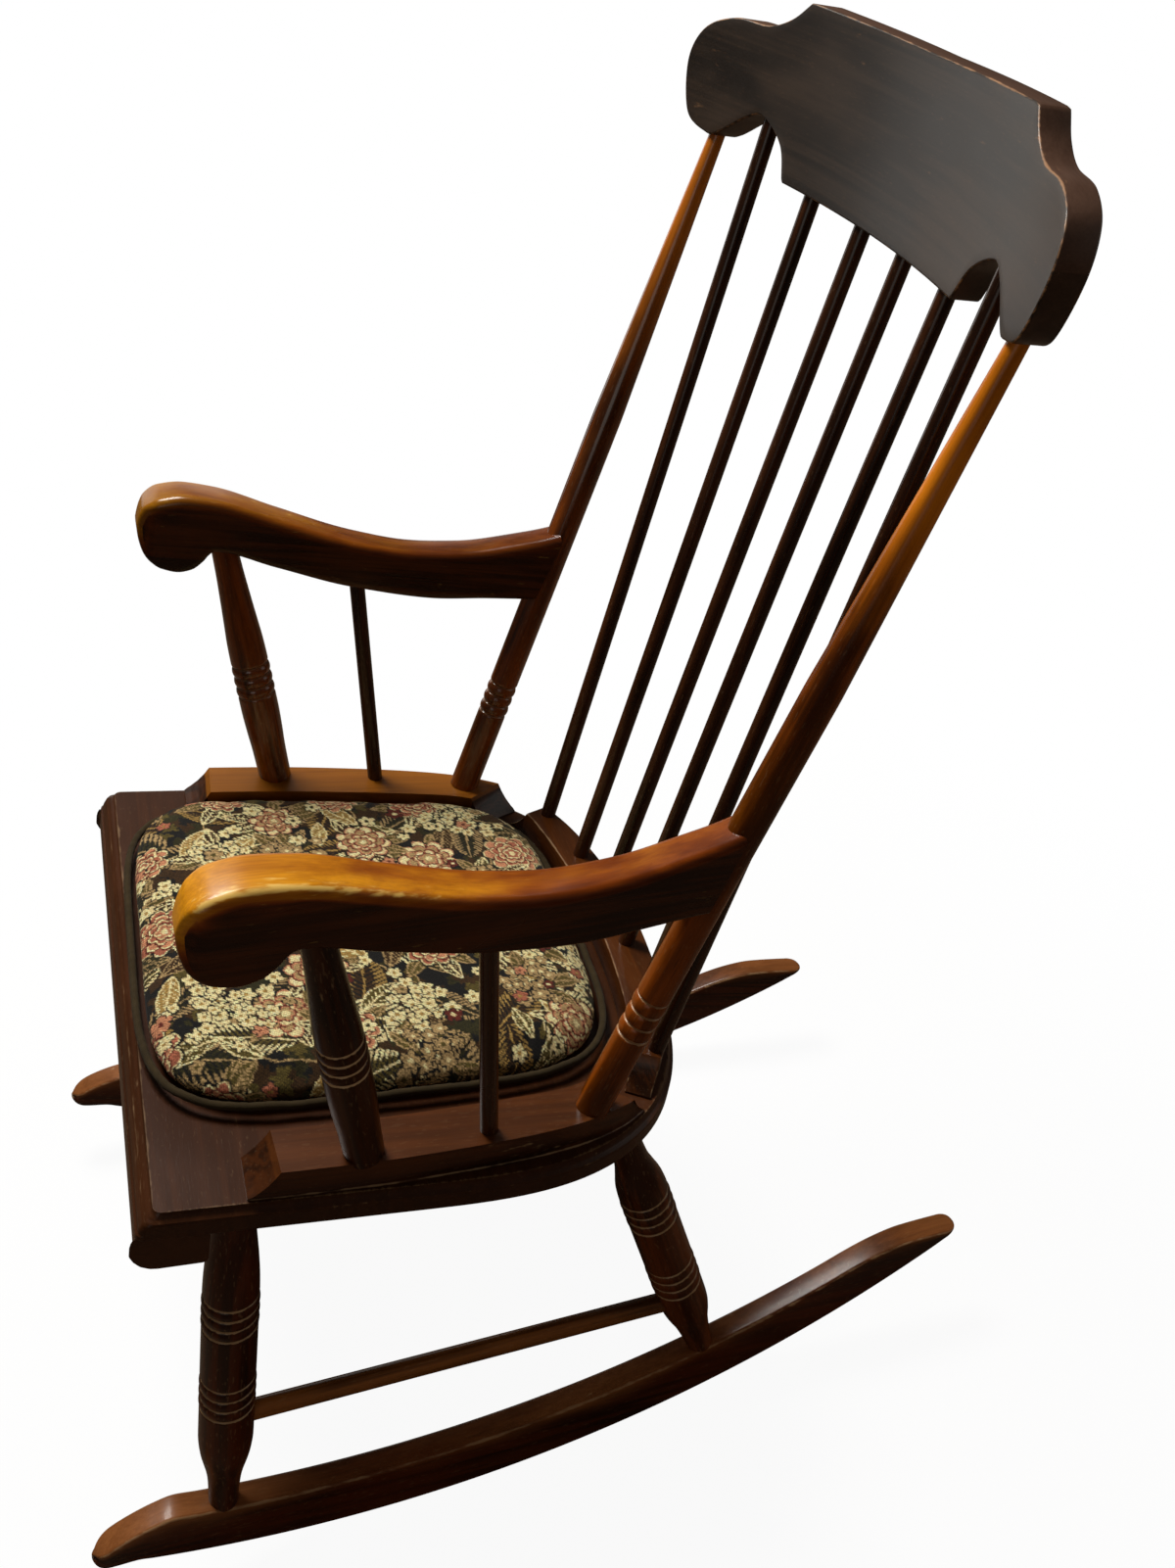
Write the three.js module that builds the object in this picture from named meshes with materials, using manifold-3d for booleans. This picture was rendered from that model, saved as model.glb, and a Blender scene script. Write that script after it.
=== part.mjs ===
// Boston rocking chair with a loose tapestry seat pad.
// Millimetres, +Z up, the sitter faces -Y, and "right" is the +X side.
// The chair is built with its seat level: y = 0 at the seat's front edge, z = 0 at the seat's top.
// It then leans back on its rockers to the pose in which it balances.
import * as THREE from "three";
import { mergeVertices } from "three/addons/utils/BufferGeometryUtils.js";
import Module from "manifold-3d";

// Fits and facets
const FIT_GAP = 0.3;
const SHOULDER_SINK = 2;
const OVERRUN = 80;
const WELD = 0.001;
const TURN_SEGMENTS = 12;
const DOWEL_SEGMENTS = 10;
const CURVE_SAMPLES = 240;

// Rest pose
const REST_LEAN_DEG = 11.05;

// Seat board
const SEAT_WIDTH = 511;
const SEAT_SIDE_LENGTH = 190;
const SEAT_BACK_LENGTH = 239.5;
const SEAT_BACK_POWER = 2.83;
const SEAT_BACK_STEPS = 13;
const SEAT_THICK = 22.5;
const SEAT_EDGE_INSET = 5;
const SEAT_EDGE_SHARES = [
  // [share of the thickness down, share of the edge inset]
  [1, 0.5],
  [0.87, 0],
  [0.36, 0],
  [0.27, 0.08],
  [0.2, 0.56],
  [0.1, 0.84],
  [0, 1],
];
const SEAT_NOSING = 11.4;
const SEAT_NOSING_SHARES = [
  // [share of the nosing forward, share of the thickness down]
  [0, 0],
  [0.07, 0.07],
  [0.34, 0.19],
  [0.6, 0.36],
  [0.77, 0.55],
  [0.84, 0.69],
  [0.96, 0.74],
  [1, 0.91],
  [0.93, 1],
];

// Rolled strip under the seat's front edge
const ROLL_SIDE_INSET = 2.5;
const ROLL_HEIGHT = 24.6;
const ROLL_LEG_GAP = 1.6;
const ROLL_SHARES = [
  // [share of the depth back, share of the height down]
  [0.02, 0],
  [0, 0.25],
  [0.01, 0.5],
  [0.055, 0.7],
  [0.145, 0.88],
  [0.26, 0.98],
  [0.36, 1],
  [1, 0.96],
  [1, 0],
];

// Rails that stand on the seat
const RAIL_HEIGHT = 25;
const RAIL_COVE_RUN = 19.5;
const COVE_SHARES = [
  // [share of the cove's run, share of the rail's height]
  [0, 0.06],
  [0.26, 0.22],
  [0.56, 0.46],
  [0.82, 0.74],
  [1, 1],
];
const SIDE_RAIL_OUTER_SHARES = [
  // [share of the seat's half width, share of its length]
  [0.971, 0.144],
  [0.971, 0.233],
  [0.964, 0.377],
  [0.942, 0.538],
  [0.916, 0.654],
  [0.885, 0.733],
  [0.838, 0.803],
  [0.783, 0.852],
];
const SIDE_RAIL_INNER_SHARES = [
  [0.716, 0.778],
  [0.759, 0.719],
  [0.779, 0.654],
  [0.798, 0.538],
  [0.818, 0.377],
  [0.826, 0.233],
  [0.826, 0.144],
];
const BACK_RAIL_OUTER_SHARES = [
  [0, 0.98],
  [0.207, 0.974],
  [0.356, 0.962],
  [0.509, 0.94],
  [0.626, 0.914],
  [0.744, 0.873],
];
const BACK_RAIL_INNER_SHARES = [
  [0.704, 0.831],
  [0.626, 0.851],
  [0.466, 0.872],
  [0.235, 0.889],
  [0, 0.895],
];

// Crest rail: a board bowed in plan and sawn to its outline
const CREST_WIDTH = 593;
const CREST_HEIGHT = 130.6;
const CREST_THICK = 23;
const CREST_BOW_RADIUS = 850;
const CREST_BOW_STEPS = 14;
const CREST_LEAN_DEG = 5.5;
const CREST_ABOVE_SEAT = 631;
const CREST_MIDDLE_Y = 496;
const CREST_FOOT_SHARE = 0.484;
const CREST_EAR_SHARES = [
  // [share of the half width, share of the height] from the scoop round the ear to the shoulder
  [0.484, 0],
  [0.538, 0.191],
  [0.644, 0.302],
  [0.715, 0.248],
  [0.809, 0.104],
  [0.858, 0.08],
  [0.949, 0.157],
  [1, 0.459],
  [0.966, 0.674],
  [0.86, 0.781],
  [0.725, 0.801],
  [0.641, 0.878],
  [0.58, 0.995],
];
const CREST_SHOULDER_SHARE = 0.56;
const CREST_TOP_SHARE = 0.985;
const CREST_EAR_STEPS = 26;

// Back posts and spindles
const POST_RADIUS = 12.9;
const POST_TOP_RADIUS = 6.6;
const POST_TAPER_SHARE = 0.6;
const POST_FOOT_SHARES = [0.8387, 0.736];
const POST_HEAD_SHARE = 0.856;
const POST_GROOVE_SHARE = 0.126;
const SPINDLE_RADIUS = 6.7;
const SPINDLE_FOOT_SHARES = [
  // [share of the seat's half width, share of its length]
  [0.1186, 0.9355],
  [0.3734, 0.9264],
  [0.6282, 0.8964],
];
const SPINDLE_HEAD_SHARES = [0.1187, 0.3848, 0.6516];
const CREST_TENON = 16;
const RAIL_TENON_SHARE = 0.66;
const TENON_RADIUS_SHARE = 0.74;

// Grooves turned in the posts and legs
const GROOVE_COUNT = 4;
const GROOVE_PITCH = 10;
const GROOVE_WIDTH = 4;
const GROOVE_DEPTH = 1.3;

// Arms, sawn from a plank and rounded
const ARM_ABOVE_SEAT = 294.4;
const ARM_DEPTH = 79;
const ARM_NOSE_Y = 4.4;
const ARM_SPREAD = 535;
const ARM_FRONT_WIDTH = 40;
const ARM_BACK_WIDTH = 30.5;
const ARM_NOSE_ROUND = 8;
const ARM_NOSE_LENGTH = 19;
const ARM_TOP_ROUND = 6;
const ARM_UNDER_ROUND = 3.5;
const ARM_CORNER_SHARE = 0.8;
const ARM_COPE_SHARE = 0.465;
const ARM_TOP_SHARES = [
  // [share of the way from the nose to the post's axis, share of the arm's depth down]
  [0, 0.329],
  [0.017, 0.157],
  [0.053, 0.046],
  [0.108, 0],
  [0.185, 0.028],
  [0.333, 0.2],
  [0.517, 0.395],
  [0.646, 0.453],
  [0.769, 0.408],
  [0.925, 0.215],
  [1.041, -0.008],
];
const ARM_UNDER_SHARES = [
  [0, 0.481],
  [0.017, 0.648],
  [0.053, 0.77],
  [0.108, 0.81],
  [0.152, 0.722],
  [0.172, 0.605],
  [0.185, 0.592],
  [0.333, 0.744],
  [0.517, 0.932],
  [0.707, 1],
  [0.846, 0.952],
  [1.041, 0.899],
];
const ARM_STATION_SHARES = [
  0, 0.005, 0.017, 0.032, 0.053, 0.078, 0.108, 0.136, 0.153, 0.163, 0.172, 0.185, 0.235, 0.281,
  0.333, 0.388, 0.449, 0.517, 0.586, 0.646, 0.707, 0.769, 0.846, 0.925, 0.992, 1.041,
];
const ARM_DOWEL_RADIUS = 5;
const ARM_DOWEL_LENGTH = 30;
const ARM_DOWEL_IN_POST_SHARE = 0.2;
const ARM_DOWEL_SHARE = 0.51;

// Arm posts and arm spindles
const ARM_POST_RADIUS = 16.7;
const ARM_POST_FOOT_SHARES = [0.9256, 0.3283];
const ARM_POST_HEAD_Y = 83;
const ARM_POST_GROOVE_SHARE = 0.35;
const ARM_POST_SHARES = [
  // [share of the length up, share of the radius]
  [0.124, 0.892],
  [0.212, 0.958],
  [0.31, 1],
  [0.531, 0.982],
  [0.597, 0.958],
  [0.664, 0.898],
  [0.774, 0.802],
  [0.885, 0.719],
];
const ARM_POST_FOOT_SHARE = 0.856;
const ARM_POST_TOP_SHARE = 0.659;
const ARM_POST_TENON_SHARE = 0.6;
const ARM_POST_TOP_TENON_SHARE = 0.48;
const ARM_TENON_SHARE = 0.215;
const ARM_SPINDLE_FOOT_SHARES = [0.8943, 0.5425];
const ARM_SPINDLE_HEAD_Y = 199.5;

// Legs
const LEG_RADIUS = 20.6;
const LEG_TENON_RADIUS_SHARE = 0.51;
const LEG_TENON_SHARE = 0.71;
const LEG_FOOT_TENON_DEPTH_SHARE = 0.41;
const LEG_FOOT_SHARE = 0.383;
const LEG_FOOT_TENON_SHARE = 0.287;
const FRONT_LEG_HEAD_SHARES = [0.8618, 0.135];
const REAR_LEG_HEAD_SHARES = [0.7358, 0.8219];
const FRONT_FOOT_Y = 68.4;
const REAR_FOOT_Y = 470.5;
const LEG_GROOVE_SHARES = [0.362, 0.625];
const FRONT_LEG_SHARES = [
  // [share of the length down, share of the radius]
  [0, 0.715],
  [0.081, 0.767],
  [0.13, 0.835],
  [0.183, 0.913],
  [0.254, 0.981],
  [0.31, 1],
  [0.763, 1],
  [0.802, 0.956],
  [0.835, 0.874],
  [0.867, 0.757],
  [0.897, 0.631],
  [0.929, 0.515],
];
const REAR_LEG_SHARES = [
  [0, 0.6],
  [0.089, 0.628],
  [0.135, 0.676],
  [0.178, 0.821],
  [0.217, 0.947],
  [0.257, 0.99],
  [0.299, 1],
  [0.763, 1],
  [0.805, 0.976],
  [0.845, 0.879],
  [0.884, 0.725],
  [0.92, 0.589],
  [0.955, 0.493],
];

// Side stretchers
const STRETCHER_RADIUS = 8;
const STRETCHER_TENON_SHARE = 0.58;
const STRETCHER_SINK_SHARE = 0.15;
const STRETCHER_FRONT_SHARE = 0.711;
const STRETCHER_REAR_SHARE = 0.785;

// Rockers
const ROCKER_RADIUS = 883;
const ROCKER_DROP = 380.5;
const ROCKER_LOW_Y = 165.6;
const ROCKER_FRONT_Y = -28.6;
const ROCKER_LENGTH = 738.2;
const ROCKER_THICK = 23;
const ROCKER_DEPTH = 49;
const ROCKER_SPREAD = 440;
const ROCKER_SPREAD_Y = 267.4;
const ROCKER_TOE_DEG = 5.26;
const ROCKER_FACET_DEG = 1.3;
const ROCKER_NOSE_LENGTH = 12;
const ROCKER_NOSE_STEPS = 5;
const ROCKER_TOP_STEPS = 17;
const ROCKER_ARC_SHARES = [0.039, 0.973];
const ROCKER_FRONT_TIP_SHARES = [
  // [share of the length back, share of the depth above the arc] from the underside round the tip
  [0.0198, -0.089],
  [0.0076, -0.108],
  [0.0008, -0.073],
  [0, -0.011],
  [0.0043, 0.081],
  [0.0117, 0.203],
  [0.0211, 0.352],
  [0.032, 0.491],
  [0.0442, 0.624],
  [0.0591, 0.759],
];
const ROCKER_TOP_SHARES = [
  [0.0794, 0.892],
  [0.131, 0.912],
  [0.242, 0.949],
  [0.445, 0.992],
  [0.675, 1.004],
  [0.857, 0.98],
];
const ROCKER_REAR_TIP_SHARES = [
  [0.88, 0.939],
  [0.9, 0.853],
  [0.921, 0.712],
  [0.942, 0.516],
  [0.964, 0.278],
  [0.983, 0.035],
  [0.995, -0.163],
  [1, -0.276],
  [0.997, -0.292],
  [0.983, -0.157],
];

// Loose seat pad and its piping
const PAD_SIDE_GAP = 23.4;
const PAD_SLIP_SHARE = 0.6;
const PAD_REAR_GAP = 11.6;
const PAD_FRONT_OVERHANG = 2.6;
const PAD_TURN_DEG = -0.9;
const PAD_TAPER_SHARE = 0.052;
const PAD_FRONT_POWER = 4.73;
const PAD_REAR_POWER = 4.43;
const PAD_STEPS = 40;
const PAD_THICK = 30;
const PAD_SEAM_SHARE = 0.33;
const PAD_LAYER_SHARES = [
  // [share of the thickness up, share of the outline's size]
  [0, 0.2],
  [0, 0.862],
  [0.067, 0.941],
  [0.2, 0.986],
  [0.33, 1],
  [0.467, 0.993],
  [0.627, 0.968],
  [0.76, 0.92],
  [0.86, 0.819],
  [0.947, 0.628],
  [1, 0.309],
];
const PIPING_RADIUS = 3;
const PIPING_SIDES = 6;

const wasm = await Module();
wasm.setup();
const { Manifold, Mesh } = wasm;

const radians = (degrees) => (degrees * Math.PI) / 180;
const vector = (x, y, z) => new THREE.Vector3(x, y, z);

// Materials
const finish = (colour, roughness) => new THREE.MeshStandardMaterial({ color: colour, roughness, metalness: 0 });
const SEAT_WOOD = finish(0x2e1a11, 0.32);
const RAIL_WOOD = finish(0x4a2c17, 0.3);
const TURNED_WOOD = finish(0x452413, 0.26);
const SPINDLE_WOOD = finish(0x22140d, 0.3);
const CREST_WOOD = finish(0x3a2d25, 0.36);
const ARM_WOOD = finish(0x7a4f1e, 0.28);
const LEG_WOOD = finish(0x33200f, 0.3);
const PLAIN_WOOD = finish(0xb98e5c, 0.7);
const PAD_CLOTH = finish(0x6f6350, 0.95);
const PIPING_CLOTH = finish(0x5b4a22, 0.9);

// Solids
function signedVolume(points, triangles) {
  const [a, b, c] = [vector(), vector(), vector()];
  let sum = 0;
  for (let t = 0; t < triangles.length; t += 3) {
    a.fromArray(points, triangles[t] * 3);
    b.fromArray(points, triangles[t + 1] * 3);
    c.fromArray(points, triangles[t + 2] * 3);
    sum += a.dot(b.cross(c));
  }
  return sum;
}

// A geometry, moved by a matrix, as a solid that can be joined and cut.
function solidOf(geometry, matrix = new THREE.Matrix4()) {
  const plain = geometry.index ? geometry.toNonIndexed() : geometry.clone();
  plain.deleteAttribute("normal");
  plain.deleteAttribute("uv");
  const merged = mergeVertices(plain.applyMatrix4(matrix), WELD);
  const points = merged.getAttribute("position").array;
  const triangles = new Uint32Array(merged.index.array);
  if (signedVolume(points, triangles) < 0) triangles.reverse();
  return new Manifold(new Mesh({ numProp: 3, vertProperties: points, triVerts: triangles }));
}

function geometryOf(solid) {
  const made = solid.getMesh();
  const geometry = new THREE.BufferGeometry();
  geometry.setAttribute("position", new THREE.BufferAttribute(made.vertProperties, made.numProp));
  geometry.setIndex(new THREE.BufferAttribute(made.triVerts, 1));
  const faceted = geometry.toNonIndexed();
  faceted.computeVertexNormals();
  return faceted;
}

const mirror = new THREE.Matrix4().makeScale(-1, 1, 1);
const mirrored = (matrix = new THREE.Matrix4()) => mirror.clone().multiply(matrix);

// A solid with each tool cut out, and with its mirror image too where the host is symmetric.
function cutBy(solid, tools, symmetric = false) {
  return tools.reduce((rest, { geometry, matrix }) => {
    const cut = rest.subtract(solidOf(geometry, matrix));
    return symmetric ? cut.subtract(solidOf(geometry, mirrored(matrix))) : cut;
  }, solid);
}

const shapeOf = (points) => new THREE.Shape(points.map(([x, y]) => new THREE.Vector2(x, y)));

// A prism of an outline, extruded along +Z from z = 0.
function prism(outline, depth, curveSegments = 1) {
  const shape = Array.isArray(outline) ? shapeOf(outline) : outline;
  return new THREE.ExtrudeGeometry(shape, { depth, curveSegments, bevelEnabled: false });
}

const alongX = new THREE.Matrix4().makeBasis(vector(0, 1, 0), vector(0, 0, 1), vector(1, 0, 0));
const alongY = new THREE.Matrix4().makeBasis(vector(1, 0, 0), vector(0, 0, 1), vector(0, -1, 0));

// A prism of a side outline in Y and Z, centred across X.
const prismAcross = (outline, width) => prism(outline, width).translate(0, 0, -width / 2).applyMatrix4(alongX);

// A loft through rings of equal counts, with flat ends or joined into a loop.
function loft(rings, loop = false) {
  const count = rings[0].length;
  const points = rings.flat(2);
  const triangles = [];
  const rows = loop ? rings.length : rings.length - 1;
  for (let r = 0; r < rows; r += 1) {
    const low = r * count;
    const high = ((r + 1) % rings.length) * count;
    for (let i = 0; i < count; i += 1) {
      const j = (i + 1) % count;
      triangles.push(low + i, low + j, high + j, low + i, high + j, high + i);
    }
  }
  if (!loop) {
    const last = (rings.length - 1) * count;
    const mean = (ring, axis) => ring.reduce((sum, p) => sum + p[axis], 0) / count;
    for (const ring of [rings[0], rings[rings.length - 1]]) {
      points.push(mean(ring, 0), mean(ring, 1), mean(ring, 2));
    }
    const first = rings.length * count;
    for (let i = 0; i < count; i += 1) {
      const j = (i + 1) % count;
      triangles.push(first, j, i, first + 1, last + i, last + j);
    }
  }
  const geometry = new THREE.BufferGeometry();
  geometry.setAttribute("position", new THREE.Float32BufferAttribute(points, 3));
  geometry.setIndex(triangles);
  return geometry;
}

// The height of a smooth curve through [along, height] pairs, at a place along it.
function curveThrough(pairs) {
  const curve = new THREE.SplineCurve(pairs.map(([x, y]) => new THREE.Vector2(x, y)));
  const samples = curve.getPoints(CURVE_SAMPLES);
  return (at) => {
    const next = samples.findIndex((p) => p.x >= at);
    if (next === -1) return samples[samples.length - 1].y;
    if (next === 0) return samples[0].y;
    const [a, b] = [samples[next - 1], samples[next]];
    return a.y + ((b.y - a.y) * (at - a.x)) / (b.x - a.x);
  };
}

// Turned sticks
function radiusAt(profile, at) {
  const next = profile.findIndex(([z]) => z >= at);
  const [z0, r0] = profile[next - 1];
  const [z1, r1] = profile[next];
  return r0 + ((r1 - r0) * (at - z0)) / (z1 - z0);
}

// Turns rings of V grooves into a profile of [distance, radius] pairs.
function grooved(profile, starts) {
  const half = GROOVE_WIDTH / 2;
  const grooves = starts.flatMap((start) =>
    Array.from({ length: GROOVE_COUNT }, (_, i) => start + i * GROOVE_PITCH),
  );
  const kept = profile.filter(([z]) => !grooves.some((g) => Math.abs(z - g) <= half));
  const cuts = grooves.flatMap((g) => [
    [g - half, radiusAt(profile, g - half)],
    [g, radiusAt(profile, g) - GROOVE_DEPTH],
    [g + half, radiusAt(profile, g + half)],
  ]);
  return [...kept, ...cuts].sort((a, b) => a[0] - b[0]);
}

function lathe(profile, segments) {
  const [start] = profile[0];
  const [end] = profile[profile.length - 1];
  const points = [[start, 0], ...profile, [end, 0]].map(([z, r]) => new THREE.Vector2(r, z));
  return new THREE.LatheGeometry(points, segments).rotateX(Math.PI / 2);
}

// A stick between two points: its geometry about +Z, the socket that clears it, and its place.
function stick(profile, from, to, segments = TURN_SEGMENTS) {
  const turn = new THREE.Quaternion().setFromUnitVectors(vector(0, 0, 1), to.clone().sub(from).normalize());
  const length = from.distanceTo(to);
  const grown = profile.map(([z, r]) => {
    const end = (z >= length ? FIT_GAP : 0) - (z <= 0 ? FIT_GAP : 0);
    return [z + end, r + FIT_GAP];
  });
  const matrix = new THREE.Matrix4().compose(from, turn, vector(1, 1, 1));
  return {
    geometry: lathe(profile, segments),
    socket: { geometry: lathe(grown, segments), matrix },
    position: from,
    turn,
    matrix,
  };
}

// A dowel with a tenon at each end, which run past its two end points.
function dowelBetween(from, to, radius, tenonRadius, fromTenon, toTenon, sink) {
  const length = from.distanceTo(to);
  const profile = [
    [-fromTenon, tenonRadius],
    [-sink, tenonRadius],
    [-sink, radius],
    [length + sink, radius],
    [length + sink, tenonRadius],
    [length + toTenon, tenonRadius],
  ];
  return stick(profile, from, to, DOWEL_SEGMENTS);
}

// Places on the seat, as shares of its half width and its length
const seatHalf = SEAT_WIDTH / 2;
const seatLength = SEAT_SIDE_LENGTH + SEAT_BACK_LENGTH;
const onSeat = ([across, back], z) => vector(seatHalf * across, seatLength * back, z);
const seatPlan = (shares) => shares.map(([across, back]) => [seatHalf * across, seatLength * back]);

// Seat board
function seatRing(down, inset) {
  const half = seatHalf - inset;
  const depth = SEAT_BACK_LENGTH - inset;
  const right = [];
  for (let i = 0; i <= SEAT_BACK_STEPS; i += 1) {
    const a = ((i / SEAT_BACK_STEPS) * Math.PI) / 2;
    const x = half * Math.cos(a) ** (2 / SEAT_BACK_POWER);
    const y = SEAT_SIDE_LENGTH + depth * Math.sin(a) ** (2 / SEAT_BACK_POWER);
    right.push([x, y]);
  }
  const left = right.slice(0, -1).reverse().map(([x, y]) => [-x, y]);
  const plan = [[half, -OVERRUN], ...right, ...left, [-half, -OVERRUN]];
  return plan.map(([x, y]) => [x, y, -down]);
}

const seatBlank = loft(SEAT_EDGE_SHARES.map(([down, inset]) => seatRing(down * SEAT_THICK, inset * SEAT_EDGE_INSET)));
const nosing = SEAT_NOSING_SHARES.map(([forward, down]) => [-forward * SEAT_NOSING, -down * SEAT_THICK]);
const seatSide = [...nosing, [seatLength + OVERRUN, -SEAT_THICK], [seatLength + OVERRUN, 0]];
const seatBoard = solidOf(seatBlank).intersect(solidOf(prismAcross(seatSide, SEAT_WIDTH + OVERRUN)));
const rollTop = -SEAT_THICK - FIT_GAP;
const rollDepth = seatLength * FRONT_LEG_HEAD_SHARES[1] - LEG_RADIUS - ROLL_LEG_GAP + SEAT_NOSING;
const rollProfile = ROLL_SHARES.map(([back, down]) => [back * rollDepth - SEAT_NOSING, rollTop - down * ROLL_HEIGHT]);
const frontRoll = prismAcross(rollProfile, SEAT_WIDTH - 2 * ROLL_SIDE_INSET);

// Rails, coved at their ends
function coveCutter(end, otherEnd, inside) {
  const from = new THREE.Vector2(...end);
  const across = new THREE.Vector2(...otherEnd).sub(from);
  const width = across.length();
  across.normalize();
  const inward = new THREE.Vector2(-across.y, across.x);
  if (inward.dot(new THREE.Vector2(...inside).sub(from)) < 0) inward.negate();
  const outline = [
    ...COVE_SHARES.map(([run, height]) => [run * RAIL_COVE_RUN, height * RAIL_HEIGHT]),
    [RAIL_COVE_RUN, RAIL_HEIGHT * 2],
    [-RAIL_COVE_RUN, RAIL_HEIGHT * 2],
    [-RAIL_COVE_RUN, -RAIL_HEIGHT],
    [0, -RAIL_HEIGHT],
  ];
  const side = vector(inward.y, -inward.x, 0);
  const matrix = new THREE.Matrix4().makeBasis(vector(inward.x, inward.y, 0), vector(0, 0, 1), side);
  const reach = width + 2 * OVERRUN;
  const start = vector(from.x, from.y, 0).addScaledVector(side, -reach / 2);
  return { geometry: prism(outline, reach), matrix: matrix.setPosition(start) };
}

const railBoard = (plan) => solidOf(prism(plan, RAIL_HEIGHT - FIT_GAP).translate(0, 0, FIT_GAP));
const sideOuter = seatPlan(SIDE_RAIL_OUTER_SHARES);
const sideInner = seatPlan(SIDE_RAIL_INNER_SHARES);
const sideFrontCove = coveCutter(sideOuter[0], sideInner[sideInner.length - 1], sideOuter[2]);
const sideRearCove = coveCutter(sideOuter[sideOuter.length - 1], sideInner[0], sideInner[2]);
const sideRailBlank = cutBy(railBoard([...sideOuter, ...sideInner]), [sideFrontCove, sideRearCove]);
const backOuter = seatPlan(BACK_RAIL_OUTER_SHARES);
const backInner = seatPlan(BACK_RAIL_INNER_SHARES);
const flip = (plan) => plan.slice().reverse().map(([x, y]) => [-x, y]);
const backPlan = [...backOuter, ...backInner, ...flip(backInner.slice(0, -1)), ...flip(backOuter.slice(1))];
const backCove = coveCutter(backOuter[backOuter.length - 1], backInner[0], backInner[2]);
const backRailBlank = cutBy(railBoard(backPlan), [backCove], true);

// Crest rail
const crestHalf = CREST_WIDTH / 2;
const crestLean = Math.tan(radians(CREST_LEAN_DEG));
const crestEar = new THREE.SplineCurve(
  CREST_EAR_SHARES.map(([across, up]) => new THREE.Vector2(across * crestHalf, up * CREST_HEIGHT)),
).getPoints(CREST_EAR_STEPS);
const crestRight = [
  [crestHalf * CREST_FOOT_SHARE, 0],
  ...crestEar.slice(1).map((p) => [p.x, p.y]),
  [crestHalf * CREST_SHOULDER_SHARE, CREST_HEIGHT],
];
const crestOutline = [[0, 0], ...crestRight, [0, CREST_HEIGHT * CREST_TOP_SHARE], ...flip(crestRight)];

// The crest rail's lower edge at a distance from the middle, as a height over the seat
function crestFootAt(x) {
  const scoop = crestEar.filter((p) => p.x < crestHalf);
  const next = scoop.findIndex((p) => p.x >= x);
  if (next <= 0) return CREST_ABOVE_SEAT;
  const [a, b] = [scoop[next - 1], scoop[next]];
  return CREST_ABOVE_SEAT + a.y + ((b.y - a.y) * (x - a.x)) / (b.x - a.x);
}

// The crest rail's middle plane, which is bowed in plan and leans back
function crestPoint(x, z) {
  const bow = CREST_BOW_RADIUS - Math.sqrt(CREST_BOW_RADIUS ** 2 - x ** 2);
  return vector(x, CREST_MIDDLE_Y - bow + (z - CREST_ABOVE_SEAT) * crestLean, z);
}

const bowHalfAngle = Math.asin((crestHalf + CREST_THICK) / CREST_BOW_RADIUS);
const bowFrom = Math.PI / 2 - bowHalfAngle;
const bowTo = Math.PI / 2 + bowHalfAngle;
const bowPlan = new THREE.Shape();
bowPlan.absarc(0, 0, CREST_BOW_RADIUS + CREST_THICK / 2, bowFrom, bowTo, false);
bowPlan.absarc(0, 0, CREST_BOW_RADIUS - CREST_THICK / 2, bowTo, bowFrom, true);
const bowBoard = prism(bowPlan, CREST_HEIGHT + 2 * OVERRUN, CREST_BOW_STEPS)
  .translate(0, CREST_MIDDLE_Y - CREST_BOW_RADIUS, -OVERRUN)
  .applyMatrix4(new THREE.Matrix4().makeShear(0, 0, 0, 0, 0, crestLean));
const crestSawn = prism(crestOutline, CREST_BOW_RADIUS).applyMatrix4(alongY).translate(0, CREST_MIDDLE_Y + OVERRUN, 0);
const crestBlank = solidOf(bowBoard)
  .intersect(solidOf(crestSawn))
  .translate([0, 0, CREST_ABOVE_SEAT]);

// Back posts and spindles
const railTenon = RAIL_HEIGHT * RAIL_TENON_SHARE;
const postFoot = onSeat(POST_FOOT_SHARES, RAIL_HEIGHT);
const postHeadX = crestHalf * POST_HEAD_SHARE;
const postHead = crestPoint(postHeadX, crestFootAt(postHeadX));
const postLength = postFoot.distanceTo(postHead);
const postBody = [
  [-SHOULDER_SINK, POST_RADIUS],
  [postLength * POST_TAPER_SHARE, POST_RADIUS],
  [postLength + SHOULDER_SINK, POST_TOP_RADIUS],
];
const backPost = stick(
  [
    [-railTenon, POST_RADIUS * TENON_RADIUS_SHARE],
    [-SHOULDER_SINK, POST_RADIUS * TENON_RADIUS_SHARE],
    ...grooved(postBody, [postLength * POST_GROOVE_SHARE]),
    [postLength + CREST_TENON, POST_TOP_RADIUS],
  ],
  postFoot,
  postHead,
);
const spindleTenonRadius = SPINDLE_RADIUS * TENON_RADIUS_SHARE;
const spindles = SPINDLE_FOOT_SHARES.map((shares, i) => {
  const headX = crestHalf * SPINDLE_HEAD_SHARES[i];
  const head = crestPoint(headX, crestFootAt(headX));
  const foot = onSeat(shares, RAIL_HEIGHT);
  return dowelBetween(foot, head, SPINDLE_RADIUS, spindleTenonRadius, railTenon, CREST_TENON, SHOULDER_SINK);
});

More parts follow.
